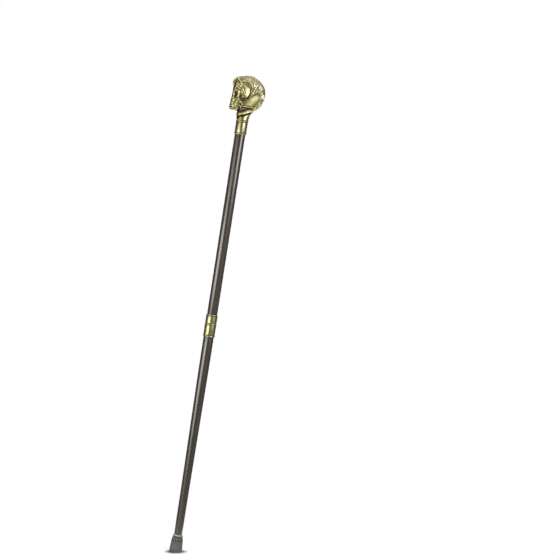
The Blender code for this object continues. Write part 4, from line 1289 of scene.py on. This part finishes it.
def arc(centre, radii, start, end):
    """Points of a profile along part of an ellipse, its angles in degrees from straight out."""
    turn = np.radians(np.linspace(start, end, 11))
    return [(centre[0] + radii[0] * math.cos(a), centre[1] + radii[1] * math.sin(a)) for a in turn]


def eased(profile, reach, closed=True):
    """Rounds each corner of a profile: a short curve runs from reach before the corner to reach after it."""
    profile = np.asarray(profile, float)
    before, after = np.roll(profile, 1, 0) - profile, np.roll(profile, -1, 0) - profile
    far_before = np.linalg.norm(before, axis=1, keepdims=True)
    far_after = np.linalg.norm(after, axis=1, keepdims=True)
    start = profile + before / far_before * np.minimum(reach, 0.45 * far_before)
    end = profile + after / far_after * np.minimum(reach, 0.45 * far_after)
    t = np.linspace(0, 1, 4)[None, :, None]
    rounded = (1 - t) ** 2 * start[:, None] + 2 * t * (1 - t) * profile[:, None] + t ** 2 * end[:, None]
    if closed:
        return rounded.reshape(-1, 2)
    return np.concatenate([profile[:1], rounded[1:-1].reshape(-1, 2), profile[-1:]])


def profile_hollows(profile, closed):
    """How hollow a profile is at each of its points: 0.5 on plain lengths, less on ridges, more in grooves.

    It is the side step from the profile to its eased self, a bell-weighted mean of its close points.
    """
    loop_points = np.concatenate([profile, profile[:1]]) if closed else profile
    run = np.concatenate([[0], np.cumsum(np.linalg.norm(np.diff(loop_points, axis=0), axis=1))])
    count = max(int(run[-1] / PROFILE_STEP), 64)
    even = np.linspace(0, run[-1], count, endpoint=not closed)
    line = np.stack([np.interp(even, run, loop_points[:, axis]) for axis in (0, 1)], 1)
    half = int(3 * PROFILE_REACH / PROFILE_STEP)
    bell = np.exp(-0.5 * (np.arange(-half, half + 1) * PROFILE_STEP / PROFILE_REACH) ** 2)
    bell /= bell.sum()
    padded = np.pad(line, ((half, half), (0, 0)), mode="wrap" if closed else "edge")
    soft = np.stack([np.convolve(padded[:, axis], bell, "valid") for axis in (0, 1)], 1)
    along = unit(np.gradient(line, axis=0))
    outwards = np.stack([along[:, 1], -along[:, 0]], 1)
    x, y = line[:, 0], line[:, 1]
    area = (x * np.roll(y, -1) - y * np.roll(x, -1)).sum()
    depth = ((soft - line) * outwards).sum(1) * (1 if area > 0 else -1)
    value = np.clip(0.5 + 0.5 * np.tanh(depth / PROFILE_DEPTH), 0, 1)
    return np.interp(run[:len(profile)], even, value)


def turned(name, profile, base, closed=True, wave=0.0):
    """A profile carried round the cane's axis; an open one ends on it. A wave sways its radius a little."""
    profile = np.asarray(profile, float)
    turn = np.linspace(0, 2 * np.pi, ROUND_STEPS, endpoint=False)
    radius, height = profile[:, :1], profile[:, 1:]
    sway = wave * (np.sin(2 * turn + 0.021 * height) + 0.6 * np.sin(0.037 * height + 1.0))
    reach = np.where(radius > 0, radius + sway, 0)
    points = np.stack([reach * np.cos(turn), reach * np.sin(turn), height + 0 * turn], -1) * MM
    points[..., 2] += base
    piece = add_mesh(name, points.reshape(-1, 3), grid_faces(len(profile), ROUND_STEPS, wrap_rows=closed))
    hollows = profile_hollows(profile, closed)
    places, _, _ = mesh_arrays(piece.data)
    across = np.hypot(places[:, 0], places[:, 1]) / MM
    up = (places[:, 2] - base) / MM
    nearest = np.concatenate(
        [((a[:, None] - profile[:, 0]) ** 2 + (b[:, None] - profile[:, 1]) ** 2).argmin(1)
         for a, b in zip(np.array_split(across, PORTIONS), np.array_split(up, PORTIONS))]
    )
    write_attribute(piece, "hollow", hollows[nearest])
    sharpen(piece, 50)
    return piece


def groove(radius, at):
    """A fine turned groove in a sleeve."""
    half, deep = GROOVE_WIDTH / 2, radius - GROOVE_DEPTH
    return [(radius, at - half), (deep, at - 0.12), (deep, at + 0.12), (radius, at + half)]


def collar_profile(length, shaft_radius, hole, washed):
    """A sleeve with beads and grooves, from its parting face on; a washed face has a recess and a bead."""
    sleeve = shaft_radius + SLEEVE_STEP
    bore = shaft_radius - TENON_STEP + SEAT_GAP
    half_bead = BEAD_WIDTH / 2
    if washed:
        profile = [(hole, RECESS_DEPTH), (RECESS_RADIUS, RECESS_DEPTH), (RECESS_RADIUS, 0.0),
                   (sleeve - 0.3, 0.0)]
        profile += arc((sleeve - 0.1, 0.3 + half_bead), (BEAD_STEP + 0.1, half_bead), -90, 90)
        profile += groove(sleeve, 0.3 + BEAD_WIDTH + 0.75)
        wall_end = RECESS_DEPTH + END_WALL
    else:
        profile = [(hole, 0.0), (sleeve - 0.35, 0.0), (sleeve - 0.1, 0.12), (sleeve, 0.4)]
        wall_end = END_WALL
    profile += groove(sleeve, length - BEAD_WIDTH - 0.75)
    profile += arc((sleeve - 0.1, length - half_bead), (BEAD_STEP + 0.1, half_bead), -90, 90)
    profile += [(sleeve - 0.4, length), (bore, length), (bore, wall_end), (hole, wall_end)]
    return eased(profile, 0.12)


def make_collar(name, length, shaft_radius, hole, washed, plane):
    profile = collar_profile(length, shaft_radius, hole, washed)
    way = -1 if washed else 1
    return turned(name, profile * (1, way) + (0, way * HALF_GAP / MM), plane)


# Corners of the shaft's two sections: the lower from the floor up, the upper from the middle joint up
LOWER_SHAFT = (
    (0, 9.8), (7.3, 9.8), (7.8, 10.3), (7.8, 34), (8.0, 120), (10.0, 391), (10.0, 424.05), (9.2, 424.05),
    (9.2, 446.95), (6.19, 446.95), (6.19, 429.75), (0, 429.75),
)
UPPER_SHAFT = (
    (0, 17.15), (7.0, 17.15), (7.0, 2.95), (9.2, 2.95), (9.2, 16.95), (10.0, 16.95), (10.3, 366.05),
    (9.5, 366.05), (9.5, 389.45), (6.0, 389.45), (6.0, 377.25), (0, 377.25),
)
SHAFT_EASE = 0.15
SHAFT_SWAY = 0.02


def make_lower_shaft():
    """Tapered lower section from its foot in the rubber to its tenon, with the bush's bore in its top."""
    profile = eased(LOWER_SHAFT, SHAFT_EASE, closed=False)
    return turned("lower_shaft_lacquered", profile, 0.0, closed=False, wave=SHAFT_SWAY)


def make_upper_shaft():
    """Upper section with a nut's socket in each end."""
    profile = eased(UPPER_SHAFT, SHAFT_EASE, closed=False)
    return turned("upper_shaft_lacquered", profile, JOINT_PLANE, closed=False, wave=SHAFT_SWAY)


# The tip's outside and the rolled rim above it, from the floor up
TIP_OUTSIDE = (
    (10.6, 0.0), (11.7, 0.7), (12.2, 2.2), (12.35, 5.5), (12.2, 9.0), (11.85, 14.0), (11.4, 19.0),
    (10.8, 23.5), (10.2, 27.0), (9.7, 28.8),
)
TIP_RIM = (
    (9.45, 29.4), (9.5, 29.9), (9.9, 30.3), (10.3, 30.8), (10.35, 31.3), (10.1, 32.0), (9.6, 32.9),
    (9.0, 33.6), (8.4, 34.0),
)
TIP_TREAD = ((3.6, 5.4), (7.6, 9.2))
TREAD_DEPTH = 1.2
# Height of each row of knobs and its turn as a share of a knob, their number, rise, half height and hollow
KNOB_ROWS = ((25.2, 0.0), (21.3, 0.5))
KNOBS = 11
KNOB_RISE = 0.85
KNOB_REACH = 1.25
KNOB_SINK = 0.12
# Where the band of painted shade between the knobs lies, with painted highlight on the knobs' tops, and the
# heights at which the neck under the rim (painted shade), the rim and its top (pale painted highlight) begin
KNOB_BAND = (23.2, 4.2)
RIM_HEIGHTS = (28.6, 30.4, 32.3)


def make_rubber_tip():
    """Flared rubber tip with two staggered rows of knobs.

    A knob is a hill of the radius: half of one plus the cosine of KNOBS times the turn, to the power 1.3,
    times the exponential of minus the fourth power of the height above the row over KNOB_REACH.
    """
    outside = [tuple(p) for p in curve(TIP_OUTSIDE, 90)]
    rim = [tuple(p) for p in curve(TIP_RIM, 24)]
    tread = [(0.0, 0.0)]
    for inner, outer in TIP_TREAD:
        tread += [(inner, 0.0), (inner, TREAD_DEPTH), (outer, TREAD_DEPTH), (outer, 0.0)]
    profile = np.array(tread + outside + rim + [(8.1, 34.0), (8.1, 8.0), (0.0, 8.0)])
    piece = turned("flared_rubber_tip", profile, 0.0, closed=False)
    points, _, _ = mesh_arrays(piece.data)
    turn = np.arctan2(points[:, 1], points[:, 0])
    across = np.hypot(points[:, 0], points[:, 1]) / MM
    up = points[:, 2] / MM
    hill = np.zeros(len(points))
    for height, offset in KNOB_ROWS:
        around = np.cos(KNOBS * turn + 2 * np.pi * offset) * 0.5 + 0.5
        hill += KNOB_RISE * np.clip(around, 0, 1) ** 1.3 * np.exp(-(((up - height) / KNOB_REACH) ** 4))
    outer = (across > 9.0) & (up < 29.5)
    push = 1 + np.where(outer, (hill - KNOB_SINK * (hill > 0)) / np.maximum(across, 1), 0)
    points[:, :2] *= push[:, None]
    piece.data.vertices.foreach_set("co", points.astype(np.float32).ravel())
    value = np.empty(len(points), np.float32)
    attribute = piece.data.attributes["hollow"]
    attribute.data.foreach_get("value", value)
    # Painted shade darkens the band between the knobs and the neck under the rim; painted highlight lightens
    # the knobs' tops and the top of the rim
    banded = np.exp(-(((up - KNOB_BAND[0]) / KNOB_BAND[1]) ** 4))
    value = np.where(outer, value + 0.06 + (0.32 - 0.80 * hill) * banded, value)
    for height, rim_value in zip(RIM_HEIGHTS, (1.0, 0.42, 0.02)):
        value = np.where(up > height, rim_value, value)
    attribute.data.foreach_set("value", np.clip(value, 0, 1).astype(np.float32))
    piece.data.update()
    return piece


def make_foot_bead():
    """The bead round the foot of the casting, with the flat face that meets the collar."""
    profile = [(FOOT_BORE, -2.05), (FOOT_RADIUS - 0.3, -2.05)]
    profile += arc((FOOT_RADIUS - 0.1, -1.0), (BEAD_STEP + 0.1, 1.0), -85, 85)
    profile += [(FOOT_RADIUS - 0.2, 0.3), (FOOT_BORE, 0.3)]
    return turned("stem_foot_bead", eased(profile, 0.08), HEAD_BASE)


def sharpen(piece, degrees):
    """Edges sharper than this stay crisp in the shading."""
    bpy.ops.object.select_all(action="DESELECT")
    piece.select_set(True)
    bpy.context.view_layer.objects.active = piece
    bpy.ops.object.shade_smooth_by_angle(angle=math.radians(degrees), keep_sharp_edges=True)


def dress(piece, body, slot, material, *nodes):
    """Gives a finished piece its body and its material, and hides the CAD nodes that it stands for. The slot
    is not used.
    """
    piece.data.materials.append(material)
    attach(piece, body)
    if nodes:
        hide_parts(*nodes)


add_camera()
add_floor()
add_world()
for softbox in SOFTBOXES:
    add_softbox(*softbox)

groups = {"metal_ageing": metal_ageing_group()}
CAST_COLOURS = ((0.56, 0.51, 0.22, 1), (0.38, 0.335, 0.095, 1), (0.040, 0.028, 0.007, 1))
TURNED_COLOURS = ((0.33, 0.295, 0.115, 1), (0.24, 0.205, 0.065, 1), (0.05, 0.038, 0.010, 1))
cast_brass = aged_brass("antiqued_cast_brass", 1.0, 0.28, *CAST_COLOURS, rings=0.0)
turned_brass = aged_brass("antiqued_turned_brass", 0.95, 0.32, *TURNED_COLOURS, rings=0.5)
plain_brass = aged_brass("plain_brass", 0.4, 0.24, *TURNED_COLOURS, rings=0.3)
lacquer = black_lacquer()
rubber = moulded_rubber()
zinc = zinc_plate()
fibre = vulcanised_fibre()

bpy.context.scene.view_settings.view_transform = "Standard"

FINISHES = {"rubber": rubber, "steel": zinc, "lacquered_wood": lacquer, "brass": plain_brass,
            "cast_brass": cast_brass, "fibre": fibre}
slots = {row["node"]: row["material_slot"] for row in frame["record"]["subparts"]}
for node_name, node_object in frame["nodes"].items():
    node_object.data.materials.clear()
    node_object.data.materials.append(FINISHES[slots[node_name]])

head = cast_head()
dress(head, "handle", "cast_brass", cast_brass, "horse_head")
dress(make_foot_bead(), "handle", "cast_brass", turned_brass)
for piece_name, length, shaft_radius, hole, washed, plane, body, node in (
    ("handle_collar_turned", 27.0, 10.3, 4.3, True, HANDLE_PLANE, "upper_section", "handle_collar"),
    ("joint_upper_collar_turned", 16.5, 10.0, 5.3, False, JOINT_PLANE, "upper_section",
     "joint_upper_collar"),
    ("joint_lower_collar_turned", 26.5, 10.0, 5.3, True, JOINT_PLANE, "lower_section", "joint_lower_collar"),
):
    collar = make_collar(piece_name, length, shaft_radius, hole, washed, plane)
    dress(collar, body, "brass", turned_brass, node)
dress(make_lower_shaft(), "lower_section", "lacquered_wood", lacquer, "lower_shaft")
dress(make_upper_shaft(), "upper_section", "lacquered_wood", lacquer, "upper_shaft")
dress(make_rubber_tip(), "lower_section", "rubber", rubber, "rubber_tip")
